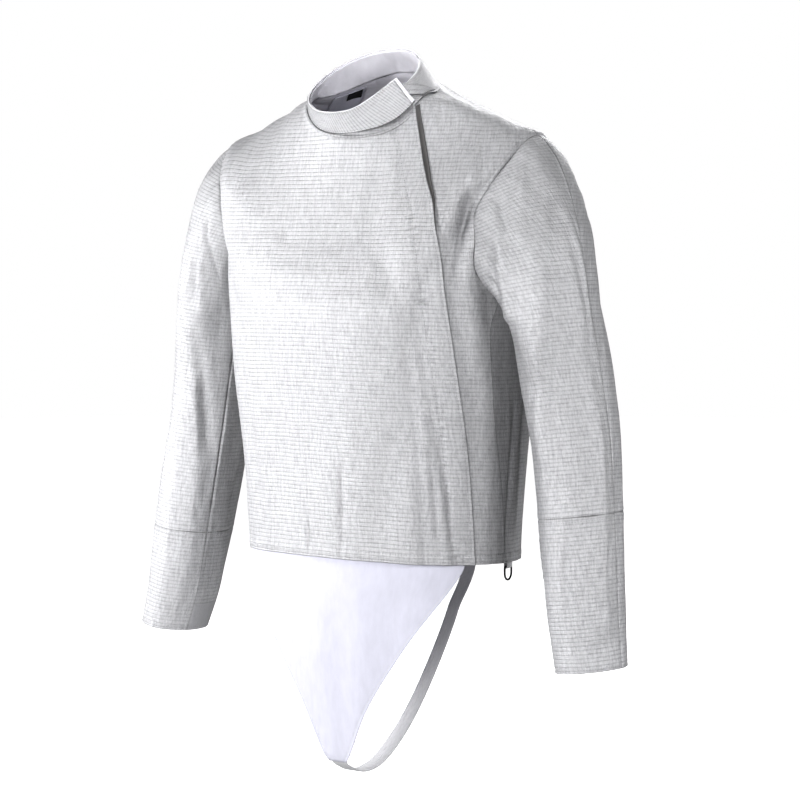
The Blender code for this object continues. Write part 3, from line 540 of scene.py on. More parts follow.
def collar_band(turn, share, top_layer, lapped):
    sine, cosine = np.sin(np.radians(turn)), np.cos(np.radians(turn))
    free = smooth(turn, 15.0, COLLAR_FREE_END) * top_layer
    over_lap = smooth(turn, -10.0, 40.0) * top_layer
    seam = blend(torso_base(turn, 0.0), neck_edge(turn, top_layer), lapped)
    base = seam + stacked(0.0, 0.0, SEAM_GAP + FREE_END_LIFT * over_lap)
    rim = stacked(RIM_HALF_WIDTH * sine, RIM_Y - RIM_DEPTH * cosine,
                  RIM_Z - RIM_RISE * cosine + FREE_END_RISE * free)
    return blend(base, rim, np.asarray(share)[..., None])


def collar_place(angle, height, out, top_layer, lapped=1.0):
    """Points of the collar band: height 0 at the seam and 1 at the rim, out along its normal."""
    def band(turn, share):
        return collar_band(turn, share, top_layer, lapped)
    normal = outward(band, angle, height, COLLAR_STEP)
    return band(angle, height) + normal * np.asarray(out)[..., None]


def stand_place(angle, height, out, lapped=1.0):
    """Points of the collar stand, which runs from its free end all round and under itself."""
    slant = FREE_END_SLANT * height * smooth(angle, 20.0, COLLAR_FREE_END)
    lift = COLLAR_LIFT * smooth(angle, -10.0, COLLAR_UNDER_END - 4.0)
    return collar_place(angle - slant, height, lift + out, smooth(angle, -40.0, 40.0), lapped)


def tab_place(across, down, out):
    """Points of the collar tab: across it from its hidden end, and down it from its top."""
    angle = blend(TAB_START, TAB_END, across) + TAB_SLANT * down - 360.0
    return collar_place(angle, blend(TAB_TOP, TAB_BOTTOM, down), TAB_WALL + FACET_ROOM + out, 0.0)


def near_hem(z):
    """The value of v at heights close to the hem."""
    above, last = RINGS[-2:]
    v = last.v + (z - last.z_side) * (last.v - above.v) / (last.z_side - above.z_side)
    return np.minimum(v, 1.0)


def crotch_place(share, z, out):
    """Points of the crotch panel: share -1 to 1 across it, at a height."""
    half = read(CROTCH, z, "half_width")
    middle, edge = read(CROTCH, z, "y_middle"), read(CROTCH, z, "y_edge")
    free = stacked(half * share, middle + (edge - middle) * share * share - out, z)
    angle = np.degrees(np.arcsin(np.minimum(half / RINGS[-1].half_width, 0.9))) * share
    hung = torso(angle, near_hem(z), out - LAYER - FACET_ROOM)
    hung[..., 2] = z
    return blend(hung, free, smooth(-z, -CROTCH_FREE_TOP, -CROTCH_FREE_BOTTOM)[..., None])


def strap_middle(share):
    """Points of the strap's middle line, on a smooth curve through its route."""
    route = np.array(STRAP_ROUTE)
    place = np.asarray(share, float) * (len(route) - 1)
    k = np.clip(place.astype(int), 0, len(route) - 2)
    t = (place - k)[..., None]
    before, after = route[np.maximum(k - 1, 0)], route[np.minimum(k + 2, len(route) - 1)]
    slope_in, slope_out = (route[k + 1] - before) / 2, (after - route[k]) / 2
    return curve(route[k], route[k + 1], slope_in, slope_out, t)


def strap_place(side, share, out):
    """Points of the strap: side -1 to 1 across it."""
    side, share = np.broadcast_arrays(np.asarray(side, float), np.asarray(share, float))
    turn = math.radians(STRAP_TURN) * smooth(share, 0.2, 0.9)
    across = stacked(np.cos(turn), -np.sin(turn), 0.0)
    run = strap_middle(np.minimum(share + 0.01, 1.0)) - strap_middle(np.maximum(share - 0.01, 0.0))
    inward = unit(np.cross(across, run))
    middle = strap_middle(share)
    half = STRAP_WIDTH / 2
    free = middle + across * (half * side)[..., None] + inward * np.asarray(out)[..., None]

    beside_cloth = SEAM_GAP + FACET_ROOM + STRAP_WALL + out
    level = np.maximum(middle[..., 2], CROTCH[-1].z)
    panel = crotch_place(np.zeros(level.shape), level, -CROTCH_WALL - beside_cloth)
    on_panel = stacked(half * side, panel[..., 1], middle[..., 2])
    angle = STRAP_SEAT_ANGLE - inset_angle(STRAP_SEAT_ANGLE, 1.0, half * side)
    on_hem = torso(angle, near_hem(middle[..., 2]), -CLOTH - beside_cloth)
    on_hem[..., 2] = middle[..., 2]
    free = blend(on_panel, free, smooth(share, *STRAP_FRONT_SEAT)[..., None])
    return blend(free, on_hem, smooth(share, *STRAP_BACK_SEAT)[..., None])


def loop_frame():
    """Axes at the loop, along the hem, outwards and up, and the middle of the ring's bar."""
    along = unit(torso_base(LOOP_ANGLE + 0.5, 1.0) - torso_base(LOOP_ANGLE - 0.5, 1.0))
    up = np.array((0.0, 0.0, 1.0))
    out = unit(np.cross(along, up))
    along = np.cross(up, out)
    bar = WIRE / 2 + RING_CLEARANCE + LOOP_WALL
    middle = torso(LOOP_ANGLE, 1.0) - out * (LAYER + FACET_ROOM + bar) - up * (LOOP_DROP - bar)
    return along, out, up, middle


# Flat cloth: how far each place of a surface lies along and across the ribs, in metres

class Flat:
    """Flat cloth coordinates over a surface, read by linear interpolation from a table."""

    def __init__(self, surface, a_range, b_range, level, along=slice(None), across=slice(None)):
        self.a, self.b = np.linspace(*a_range), np.linspace(*b_range)
        points = surface(self.a[None, :], self.b[:, None])
        run = np.linalg.norm(np.diff(points, axis=1)[..., along], axis=-1)
        fall = np.linalg.norm(np.diff(points, axis=0)[..., across], axis=-1)
        self.u = np.concatenate([np.zeros((len(self.b), 1)), np.cumsum(run, axis=1)], axis=1)
        start = int(np.argmin(np.abs(self.a - level)))
        self.u -= self.u[:, start:start + 1].copy()
        self.v = np.concatenate([np.cumsum(fall[::-1], axis=0)[::-1], np.zeros((1, len(self.a)))], axis=0)

    def at(self, a, b):
        a, b = np.broadcast_arrays(np.asarray(a, float), np.asarray(b, float))
        x = np.clip((a - self.a[0]) / (self.a[1] - self.a[0]), 0, len(self.a) - 1.000001)
        y = np.clip((b - self.b[0]) / (self.b[1] - self.b[0]), 0, len(self.b) - 1.000001)
        i, j = x.astype(int), y.astype(int)
        p, q = x - i, y - j

        def mix(table):
            top = table[j, i] * (1 - p) + table[j, i + 1] * p
            return top * (1 - q) + (table[j + 1, i] * (1 - p) + table[j + 1, i + 1] * p) * q

        return mix(self.u), mix(self.v)

    def map(self, a, b):
        return np.stack(self.at(a, b), axis=-1)


BODY_FLAT = Flat(torso_base, (-180.0, 360.0, 541), (0.0, 1.0, 201), 0.0, slice(0, 2), slice(1, 3))
SLEEVE_FLAT = {side: Flat(sleeve_surface(side), (0.0, 360.0, 241), (0.0, 1.0, 201), 270.0)
               for side in (LEFT, RIGHT)}


# Relief: creases, seams, puckers and small unevenness, all as heights over the plain surface

def unevenness(u, v, u_size, v_size, seed):
    """Soft noise over the flat cloth, about -1 to 1."""
    spots = zip((u / u_size).ravel(), (v / v_size).ravel())
    return np.array([noise.noise((a, b, seed)) for a, b in spots]).reshape(u.shape) * 1.6


def crease_height(creases, flat, u, v):
    height = np.zeros(u.shape)
    for crease in creases:
        u0, v0 = flat.at(crease.a0, crease.b0)
        u1, v1 = flat.at(crease.a1, crease.b1)
        run_u, run_v = u1 - u0, v1 - v0
        length = math.hypot(run_u, run_v)
        t = ((u - u0) * run_u + (v - v0) * run_v) / length ** 2
        side = ((u - u0) * run_v - (v - v0) * run_u) / length
        r = (side - crease.bow * 4 * t * (1 - t)) / crease.width
        taper = np.sin(math.pi * np.clip(t, 0.0, 1.0)) ** 0.8
        height += crease.height * taper * np.exp(-r * r) * (1.0 + crease.skew * 1.6 * r)
    return height


def ridge_height(ridges, flat, around, along):
    height = np.zeros(around.shape)
    for ridge in ridges:
        turns, places = np.array(ridge.path).T
        line = np.interp(along, places, turns)
        side = flat.at(around, along)[0] - flat.at(line, along)[0]
        reach = np.where(side < 0.0, ridge.before, ridge.after)
        shape = np.exp(-(np.sqrt(side ** 2 + 0.0016 ** 2) - 0.0016) / reach)
        t = (along - places[0]) / (places[-1] - places[0])
        shown = smooth(t, 0.0, 0.3) * (1.0 - smooth(t, 1.0 - ridge.fade, 1.0) if ridge.fade else 1.0)
        height += ridge.height * shown * np.where(np.abs(around - line) < 95.0, shape, 0.0)
    return height


class Line:
    """A seam or edge in space, to measure how far points lie from it and along it."""

    def __init__(self, points):
        along = run_along(points)
        count = max(int(along[-1] / 0.0006), 2)
        self.spots = np.linspace(0.0, along[-1], count)
        fine = np.stack([np.interp(self.spots, along, points[:, k]) for k in range(3)], axis=1)
        self.tree = kdtree.KDTree(count)
        for index, point in enumerate(fine):
            self.tree.insert(point, index)
        self.tree.balance()

    def measure(self, points):
        found = [self.tree.find(point)[1:] for point in points.reshape(-1, 3)]
        index = np.array([item[0] for item in found])
        distance = np.array([item[1] for item in found])
        return distance.reshape(points.shape[:-1]), self.spots[index].reshape(points.shape[:-1])


def seam_height(distance, along, seam):
    """Relief beside a seam or hem: puffed cloth, the lines of its stitches, and puckers."""
    height = seam.puff * (1.0 - bell(distance, 0.0012)) * bell(distance, 0.0060)
    for row in seam.rows:
        height = height - seam.bite * bell(distance - row, 0.0010)
    middle = sum(seam.rows) / len(seam.rows) if seam.rows else 0.003
    drift = np.array([noise.noise((s / 0.03, seam.seed, 0.0)) for s in along.ravel()]).reshape(along.shape)
    turn = 2 * math.pi * along / seam.pitch
    wave = np.sin(turn + 8 * drift) + 0.5 * np.sin(turn * 1.75 - 3 * drift)
    return height + seam.pucker * wave * bell(distance - middle, seam.reach)


ALONG = np.linspace(0.0, 1.0, 241)
ROUND = np.linspace(0.0, 360.0, 721)


def side_values(side, top, bottom):
    v = blend(top, bottom, ALONG)
    return side * side_line(side, v), v


ARMHOLE_LINE = {side: Line(armhole(side, ROUND)) for side in (LEFT, RIGHT)}
BODY_SEAMS = [(ARMHOLE_LINE[side], TOPSTITCHED_SEAM) for side in (LEFT, RIGHT)]
BODY_SEAMS += [(Line(torso(*side_values(side, ARM_BOTTOM, 1.0))), PLAIN_SEAM) for side in (LEFT, RIGHT)]
BODY_SEAMS += [(Line(torso(*side_values(side, 0.0, ARM_TOP))), PLAIN_SEAM) for side in (LEFT, RIGHT)]
NECK_LINE = Line(torso(ROUND - 180.0, np.zeros(len(ROUND))))
HEM_LINE = Line(torso(ROUND - 180.0, np.ones(len(ROUND))))
LAP_LINE = Line(torso(lap_edge(ALONG), ALONG))


def body_relief(panel, angle, v):
    points = torso(angle, v)
    flat_u, flat_v = BODY_FLAT.at(angle, v)
    height = crease_height(BODY_CREASES, BODY_FLAT, flat_u, flat_v)
    height += ridge_height(BODY_RIDGES, BODY_FLAT, angle, v)
    height += 0.0012 * unevenness(flat_u, flat_v, 0.028, 0.140, 3.0)
    height += 0.00030 * unevenness(flat_u, flat_v, 0.009, 0.055, 8.0)
    joined = np.ones(flat_u.shape)
    for line, seam in BODY_SEAMS:
        distance, along = line.measure(points)
        height += seam_height(distance, along, seam)
        joined *= 1.0 - bell(distance, 0.0015)
    height += seam_height(*NECK_LINE.measure(points), NECK_SEAM)
    distance, along = HEM_LINE.measure(points)
    height += seam_height(distance, along, HEM) + 0.0006 * (1.0 - smooth(distance, 0.0098, 0.0118))
    if panel == "front_right":
        distance, along = LAP_LINE.measure(points)
        height += seam_height(distance, along, LAP_STITCH) + seam_height(distance, along, LAP_BORDER)
    return height * joined


def body_skin(panel, angle, v, out=0.0):
    """Points of a finished body panel."""
    lift = lap_lift(angle, v) if panel == "front_right" else 0.0
    return torso(angle, v, lift + body_relief(panel, angle, v) + out)


def sleeve_lines(side):
    cross = arm_share(CROSS_SEAM_Z[side])
    seam = np.full(len(ALONG), INNER_SEAM)
    ring = np.full(len(ROUND), cross)
    return (
        (ARMHOLE_LINE[side], PLAIN_SEAM, True),
        (Line(sleeve_base(side, seam, ALONG)), TOPSTITCHED_SEAM, True),
        (Line(sleeve_base(side, 0.0 * seam, ALONG)), PLAIN_SEAM, True),
        (Line(sleeve_base(side, ROUND, ring)), TOPSTITCHED_SEAM, True),
        (Line(sleeve_base(side, ROUND, np.ones(len(ROUND)))), CUFF_HEM, False),
    )


SLEEVE_SEAMS = {side: sleeve_lines(side) for side in (LEFT, RIGHT)}


def sleeve_relief(side, theta, s):
    points = sleeve_base(side, theta, s)
    flat = SLEEVE_FLAT[side]
    flat_u, flat_v = flat.at(theta, s)
    folds = crease_height(SLEEVE_CREASES[side] + BOTH_SLEEVE_CREASES, flat, flat_u, flat_v)
    folds += ridge_height(SLEEVE_RIDGES[side] + BOTH_SLEEVE_RIDGES, flat, theta, s)
    folds *= smooth(s, 0.0, 0.02)
    height = 0.0014 * unevenness(flat_u, flat_v, 0.022, 0.120, 13.0 + side)
    height += 0.00035 * unevenness(flat_u, flat_v, 0.008, 0.050, 18.0 + side)
    joined = np.ones(flat_u.shape)
    for line, seam, sewn in SLEEVE_SEAMS[side]:
        distance, along = line.measure(points)
        height += seam_height(distance, along, seam)
        if sewn:
            joined *= 1.0 - bell(distance, 0.0015)
    turn = theta % 360.0
    from_outer, from_inner = np.minimum(turn, 360.0 - turn), np.abs(turn - INNER_SEAM)
    between = np.minimum(smooth(from_outer, 0.0, 7.0), smooth(from_inner, 0.0, 5.0))
    return height * joined + folds * between


def sleeve_skin(side, theta, s, out=0.0):
    lift = sleeve_folds(side, theta, s) + sleeve_relief(side, theta, s) + out
    return sleeve_base(side, theta, s) + sleeve_normal(side, theta, s) * lift[..., None]


# Meshes

def grid_mesh(name, points, flat, gone=None):
    """A grid of quads on rows and columns of points, with its flat cloth as UV map and its edge marked.

    gone marks the points that are left out.
    """
    rows, columns = points.shape[0] - 1, points.shape[1] - 1
    shape = bmesh.new()
    bmesh.ops.create_grid(shape, x_segments=columns, y_segments=rows, size=1.0)
    if gone is not None:
        spare = [vert for vert in shape.verts
                 if gone[round((1 - vert.co.y) / 2 * rows), round((vert.co.x + 1) / 2 * columns)]]
        bmesh.ops.delete(shape, geom=spare, context="VERTS")
    mesh = bpy.data.meshes.new(name)
    shape.to_mesh(mesh)
    shape.free()

    spots = np.empty(len(mesh.vertices) * 3)
    mesh.vertices.foreach_get("co", spots)
    spots = spots.reshape(-1, 3)
    i = np.rint((spots[:, 0] + 1) / 2 * columns).astype(int)
    j = np.rint((1 - spots[:, 1]) / 2 * rows).astype(int)
    mesh.vertices.foreach_set("co", points[j, i].ravel())
    corners = np.empty(len(mesh.loops), dtype=np.int32)
    mesh.loops.foreach_get("vertex_index", corners)
    layer = mesh.uv_layers.new(name="cloth")
    layer.data.foreach_set("uv", flat[j, i][corners].ravel())
    edge = ((i == 0) | (i == columns) | (j == 0) | (j == rows)).astype(np.float32)
    mesh.attributes.new("cut_edge", "FLOAT", "POINT").data.foreach_set("value", edge)
    mesh.update()
    mesh.shade_smooth()
    return mesh


def add_object(name, data):
    made = bpy.data.objects.new(name, data)
    bpy.context.scene.collection.objects.link(made)
    return made


def add_piece(name, mesh, looks, node=None, body="garment"):
    for look in looks:
        mesh.materials.append(look)
    piece = add_object(name, mesh)
    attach(piece, body)
    if node:
        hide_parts(node)
    return piece


def give_wall(piece, wall, inner_look=0):
    """Thicken a grid of points into a wall, inwards."""
    thick = piece.modifiers.new("wall", "SOLIDIFY")
    thick.thickness, thick.offset, thick.material_offset = wall, -1.0, inner_look


def cut_size(points):
    """Width, length and area of the cloth that a grid of points was cut from."""
    across, down = gaps(points, 1), gaps(points)
    cells = np.cross(points[1:, :-1] - points[:-1, :-1], points[:-1, 1:] - points[:-1, :-1])
    area = np.linalg.norm(cells, axis=-1).sum()
    return float(across.sum(axis=1).max()), float(down.sum(axis=0).max()), float(area)


def shell(name, points, flat, wall, looks, node, turned=False, gone=None):
    """A cloth piece, whose outer face is the grid of points."""
    if turned:
        points, flat = points[:, ::-1], flat[:, ::-1]
        gone = None if gone is None else gone[:, ::-1]
    piece = add_piece(name, grid_mesh(name, points, flat, gone), looks, node)
    give_wall(piece, wall, len(looks) - 1)
    width, length, area = cut_size(points)


def tube_mesh(name, path, sideways, radius, around=8, closed=False):
    """A round cord along a path. sideways is a direction across it, or one for each point."""
    run = np.roll(path, -1, 0) - np.roll(path, 1, 0) if closed else np.gradient(path, axis=0)
    run = unit(run)
    sideways = np.broadcast_to(sideways, path.shape)
    first = unit(sideways - run * (sideways * run).sum(axis=1, keepdims=True))
    second = np.cross(run, first)
    if closed:
        path, first, second = (np.concatenate([part, part[:1]]) for part in (path, first, second))
    turn = np.linspace(0.0, 2 * math.pi, around + 1)[None, :, None]
    ring = first[:, None] * np.cos(turn) + second[:, None] * np.sin(turn)
    points = path[:, None] + ring * radius
    mesh = grid_mesh(name, points, paired(turn[..., 0] * radius, run_along(path)[:, None]))
    shape = bmesh.new()
    shape.from_mesh(mesh)
    bmesh.ops.remove_doubles(shape, verts=shape.verts, dist=1e-6)
    if not closed:
        bmesh.ops.holes_fill(shape, edges=[edge for edge in shape.edges if edge.is_boundary], sides=0)
    bmesh.ops.recalc_face_normals(shape, faces=shape.faces)
    shape.to_mesh(mesh)
    shape.free()
    return mesh


def beside(surface, a, b, steps, distance):
    """Coordinates of a line that runs beside the line (a, b) on a surface, to its left."""
    run = unit(np.gradient(surface(a, b), axis=0))
    by_a = (surface(a + steps[0], b) - surface(a - steps[0], b)) / (2 * steps[0])
    by_b = (surface(a, b + steps[1]) - surface(a, b - steps[1])) / (2 * steps[1])
    left = np.cross(unit(np.cross(by_b, by_a)), run)
    left_a, left_b = (by_a * left).sum(-1), (by_b * left).sum(-1)
    run_a, run_b = (by_a * run).sum(-1), (by_b * run).sum(-1)
    whole = left_a * run_b - left_b * run_a
    return a + distance * run_b / whole, b - distance * run_a / whole


STITCH_WIDTH, STITCH_SINK, STITCH_LIFT = 0.00050, 0.00005, 0.0001


def stitch_ball():
    """Corners and faces of a small ball, always in the same order."""
    shape = bmesh.new()
    bmesh.ops.create_uvsphere(shape, u_segments=6, v_segments=4, radius=1.0)
    spots = {vert: tuple(round(part, 6) + 0.0 for part in vert.co) for vert in shape.verts}
    corners = sorted(spots.values())
    faces = []
    for face in shape.faces:
        order = [corners.index(spots[vert]) for vert in face.verts]
        first = order.index(min(order))
        faces.append(order[first:] + order[:first])
    shape.free()
    return np.array(corners), sorted(faces)


BALL_CORNERS, BALL_FACES = stitch_ball()


class Stitches:
    """Rows of sewn stitches, gathered into one piece."""

    def __init__(self, name, slot, look):
        self.name, self.slot, self.look = name, slot, look
        self.balls = []

    def row(self, points, normals, pitch=0.0032, length=0.0024):
        along = run_along(points)

        def at(distance, table):
            return np.stack([np.interp(distance, along, column) for column in table.T], axis=-1)

        middle = (np.arange(int(along[-1] / pitch)) + 0.5) * pitch
        first, last = at(middle - length / 2, points), at(middle + length / 2, points)
        up, x = unit(at(middle, normals)), unit(last - first)
        y = unit(np.cross(up, x))
        half = STITCH_WIDTH / 2
        axes = np.stack([(last - first) / 2, y * half, np.cross(x, y) * half], axis=1)
        centre = (first + last) / 2 - up * STITCH_SINK
        self.balls.append(centre[:, None] + BALL_CORNERS @ axes)

    def finish(self):
        corners = np.concatenate(self.balls)
        faces = [[corner + k * len(BALL_CORNERS) for corner in face]
                 for k in range(len(corners)) for face in BALL_FACES]
        mesh = bpy.data.meshes.new(self.name)
        mesh.from_pydata(corners.reshape(-1, 3), [], faces)
        mesh.shade_smooth()
        add_piece(self.name, mesh, [self.look])


# Finishes

class Tree:
    """Small helpers to lay out the nodes of a material or a node group."""

    def __init__(self, tree):
        self.tree = tree

    def node(self, kind, **settings):
        made = self.tree.nodes.new(kind)
        for name, value in settings.items():
            setattr(made, name, value)
        return made

    def put(self, socket, value):
        if isinstance(value, bpy.types.NodeSocket):
            self.tree.links.new(value, socket)
        else:
            socket.default_value = value

    def math(self, operation, *values):
        made = self.node("ShaderNodeMath", operation=operation)
        for socket, value in zip(made.inputs, values):
            self.put(socket, value)
        return made.outputs[0]

    def noise(self, vector, scale, detail=2.0, roughness=0.5):
        made = self.node("ShaderNodeTexNoise")
        self.put(made.inputs["Vector"], vector)
        self.put(made.inputs["Scale"], scale)
        self.put(made.inputs["Detail"], detail)
        self.put(made.inputs["Roughness"], roughness)
        return made.outputs["Fac"]

    def mix(self, share, first, second):
        made = self.node("ShaderNodeMix", data_type="RGBA")
        self.put(made.inputs[0], share)
        self.put(made.inputs[6], first)
        self.put(made.inputs[7], second)
        return made.outputs[2]

    def span(self, value, low, high, new_low=0.0, new_high=1.0):
        made = self.node("ShaderNodeMapRange")
        for socket, item in zip(made.inputs, (value, low, high, new_low, new_high)):
            self.put(socket, item)
        return made.outputs[0]

    def scaled(self, vector, scale, turn=0.0):
        made = self.node("ShaderNodeMapping")
        self.put(made.inputs["Vector"], vector)
        made.inputs["Rotation"].default_value = (0.0, 0.0, turn)
        made.inputs["Scale"].default_value = scale
        return made.outputs["Vector"]

    def bump(self, height, distance, strength=1.0):
        made = self.node("ShaderNodeBump")
        made.inputs["Strength"].default_value = strength
        made.inputs["Distance"].default_value = distance
        self.put(made.inputs["Height"], height)
        return made.outputs["Normal"]


FLOAT, VECTOR = "NodeSocketFloat", "NodeSocketVector"


def new_group(name, inputs, outputs):
    group = bpy.data.node_groups.new(name, "ShaderNodeTree")
    for label, kind, value in inputs:
        socket = group.interface.new_socket(name=label, in_out="INPUT", socket_type=kind)
        if value is not None:
            socket.default_value = value
    for label in outputs:
        group.interface.new_socket(name=label, in_out="OUTPUT", socket_type=FLOAT)
    return Tree(group), group.nodes.new("NodeGroupInput").outputs, group.nodes.new("NodeGroupOutput").inputs


def make_weave_group():
    """Woven cloth: cords across it, finer threads along it, fine crinkles and a slow mottle."""
    t, given, made = new_group(
        "woven_cloth",
        [("Flat Cloth", VECTOR, None), ("Cord Pitch", FLOAT, 0.0045), ("Thread Pitch", FLOAT, 0.0011),
         ("Crinkle", FLOAT, 0.0)],
        ["Cord", "Slub", "Frost", "Mottle", "Height"])
    flat = given["Flat Cloth"]
    parts = t.node("ShaderNodeSeparateXYZ")
    t.put(parts.inputs[0], flat)
    wander = t.noise(t.scaled(flat, (14.0, 60.0, 1.0)), 1.0, 1.0)
    shift = t.math("MULTIPLY", t.math("SUBTRACT", wander, 0.5), 0.35)
    cord = t.math("ADD", t.math("DIVIDE", parts.outputs[1], given["Cord Pitch"]), shift)
    cord = t.span(t.math("PINGPONG", t.math("MULTIPLY", cord, 2.0), 1.0), 0.50, 0.95)
    broken = t.noise(t.scaled(flat, (160.0, 90.0, 1.0)), 1.0, 3.0, 0.7)
    cord = t.math("MULTIPLY", cord, t.span(broken, 0.36, 0.60, 0.45, 1.0))
    thread = t.math("DIVIDE", parts.outputs[0], given["Thread Pitch"])
    thread = t.math("PINGPONG", t.math("MULTIPLY", thread, 2.0), 1.0)
    slub = t.noise(t.scaled(flat, (900.0, 260.0, 1.0)), 1.0, 2.0, 0.7)
    crinkle = t.noise(t.scaled(flat, (380.0, 60.0, 1.0)), 1.0, 4.0, 0.72)
    mottle = t.noise(t.scaled(flat, (130.0, 40.0, 1.0)), 1.0, 3.0, 0.6)
    height = t.math("ADD", t.math("MULTIPLY", thread, 0.25), t.math("MULTIPLY", slub, 0.7))
    height = t.math("MULTIPLY_ADD", t.math("SUBTRACT", crinkle, 0.5), given["Crinkle"], height)
    height = t.math("SUBTRACT", height, t.math("MULTIPLY", cord, 0.8))
    for label, value in (("Cord", cord), ("Slub", slub), ("Frost", crinkle), ("Mottle", mottle),
                         ("Height", height)):
        t.put(made[label], value)
    return t.tree


def new_material(name, metallic=0.0, sheen=0.0):
    look = bpy.data.materials.new(name)
    look.use_nodes = True
    shader = look.node_tree.nodes["Principled BSDF"]
    shader.inputs["Metallic"].default_value = metallic
    shader.inputs["Sheen Weight"].default_value = sheen
    return look, Tree(look.node_tree), shader.inputs


WEAVE = make_weave_group()


def woven(name, colour, cord_colour, roughness, pitches, bump, metallic=0.0, sheen=0.0,
          cord_share=0.6, slub_share=0.25, frost=0.0, crinkle=0.0, turn=0.0, bounce=1.0, edge=0.12):
    """A woven finish on the flat cloth of its piece.

    bounce is how much of its light it hands on, and edge is how deep the painted shade is along the cut
    edges of its piece.
    """
    look, t, shader = new_material(name, metallic, sheen)
    flat = t.node("ShaderNodeUVMap", uv_map="cloth").outputs["UV"]
    if turn:
        flat = t.scaled(flat, (1.0, 1.0, 1.0), turn)
    cloth = t.node("ShaderNodeGroup", node_tree=WEAVE)
    t.put(cloth.inputs["Flat Cloth"], flat)
    t.put(cloth.inputs["Cord Pitch"], pitches[0])
    t.put(cloth.inputs["Thread Pitch"], pitches[1])
    t.put(cloth.inputs["Crinkle"], crinkle)
    slub = t.span(cloth.outputs["Slub"], 0.40, 0.70, 0.0, slub_share)
    slub = t.math("ADD", slub, t.span(cloth.outputs["Frost"], 0.42, 0.66, 0.0, frost))
    dark = t.math("MULTIPLY_ADD", cloth.outputs["Cord"], cord_share, slub)
    base = t.mix(t.math("MINIMUM", dark, 1.0), (*colour, 1.0), (*cord_colour, 1.0))
    tinted = t.node("ShaderNodeVectorMath", operation="SCALE")
    t.put(tinted.inputs[0], base)
    diffuse = t.node("ShaderNodeLightPath").outputs["Is Diffuse Ray"]
    kept = t.math("MULTIPLY_ADD", diffuse, bounce - 1.0, 1.0)
    # Painted shade: the colour darkens towards each piece's cut edges, along its seams and free edges, for
    # the shadow in the seams.
    sewn = t.math("POWER", t.node("ShaderNodeAttribute", attribute_name="cut_edge").outputs["Fac"], 2.0)
    kept = t.math("MULTIPLY", kept, t.math("MULTIPLY_ADD", sewn, -edge, 1.0))
    mottle = cloth.outputs["Mottle"]
    t.put(tinted.inputs["Scale"], t.math("MULTIPLY", kept, t.span(mottle, 0.25, 0.75, 0.95, 1.04)))
    t.put(shader["Base Color"], tinted.outputs[0])
    t.put(shader["Roughness"], t.span(mottle, 0.2, 0.8, roughness - 0.05, roughness + 0.08))
    t.put(shader["Normal"], t.bump(cloth.outputs["Height"], bump))
    return look


# The lame finishes carry the deepest painted shade along their cut edges (edge).
LAME = woven("lame_cloth_finish", (0.64, 0.64, 0.655), (0.30, 0.30, 0.32), 0.54, (0.0045, 0.0011), 0.00030,
             metallic=0.35, cord_share=0.38, slub_share=0.22, frost=0.34, crinkle=3.2, bounce=0.15,
             edge=0.48)
COLLAR_LAME = woven("collar_lame_finish", (0.64, 0.64, 0.655), (0.34, 0.34, 0.36), 0.54, (0.0032, 0.0011),
                    0.00030, metallic=0.35, cord_share=0.75, frost=0.24, crinkle=1.8, bounce=0.3, edge=0.45,
                    turn=math.radians(78.0))
LINING = woven("lining_finish", (0.90, 0.89, 0.94), (0.82, 0.81, 0.87), 0.80, (0.0009, 0.0009), 0.00008,
               sheen=0.3, cord_share=0.3, slub_share=0.15)
WHITE = woven("white_cloth_finish", (0.74, 0.74, 0.83), (0.70, 0.70, 0.79), 0.78, (0.0008, 0.0008), 0.00006,
              sheen=0.3, cord_share=0.25, slub_share=0.10)
KNIT = woven("knit_finish", (0.56, 0.56, 0.58), (0.40, 0.40, 0.42), 0.85, (0.0010, 0.0014), 0.00015,
             sheen=0.3, cord_share=0.3)
ELASTIC = woven("elastic_finish", (0.78, 0.78, 0.80), (0.56, 0.56, 0.58), 0.70, (0.0016, 0.0010), 0.00005,
                sheen=0.2, cord_share=0.4)
# Placket tape: a grey tape coloured near black, painted shade for the shadow under the lap.
TAPE_PAINTED_SHADE = woven("tape_painted_shade_finish", (0.17, 0.165, 0.165), (0.10, 0.10, 0.10), 0.80, (0.0012, 0.0010), 0.00010,
             cord_share=0.4, bounce=0.3)
TAG = woven("dark_tag_finish", (0.020, 0.020, 0.024), (0.010, 0.010, 0.012), 0.70, (0.0007, 0.0007),
            0.00005, cord_share=0.3)


def make_thread_finish(name, colour):
    look, t, shader = new_material(name, sheen=0.2)
    place = t.node("ShaderNodeTexCoord").outputs["Object"]
    fleck = t.noise(place, 900.0)
    shade = tuple(part * 0.8 for part in colour)
    t.put(shader["Base Color"], t.mix(fleck, (*colour, 1.0), (*shade, 1.0)))
    t.put(shader["Roughness"], t.span(fleck, 0.3, 0.7, 0.55, 0.7))
    return look


THREAD = make_thread_finish("thread_finish", (0.40, 0.40, 0.42))
WHITE_THREAD = make_thread_finish("white_thread_finish", (0.85, 0.85, 0.88))


def make_metal_finish():
    look, t, shader = new_material("black_metal_finish", metallic=0.6)
    place = t.node("ShaderNodeTexCoord").outputs["Object"]
    wear = t.span(t.noise(place, 420.0, 4.0, 0.7), 0.58, 0.72)
    t.put(shader["Base Color"], t.mix(wear, (0.022, 0.022, 0.024, 1.0), (0.16, 0.16, 0.17, 1.0)))
    t.put(shader["Roughness"], t.span(wear, 0.0, 1.0, 0.32, 0.5))
    t.put(shader["Normal"], t.bump(t.noise(place, 900.0, 3.0), 0.00008))
    return look


METAL = make_metal_finish()


# Body panels

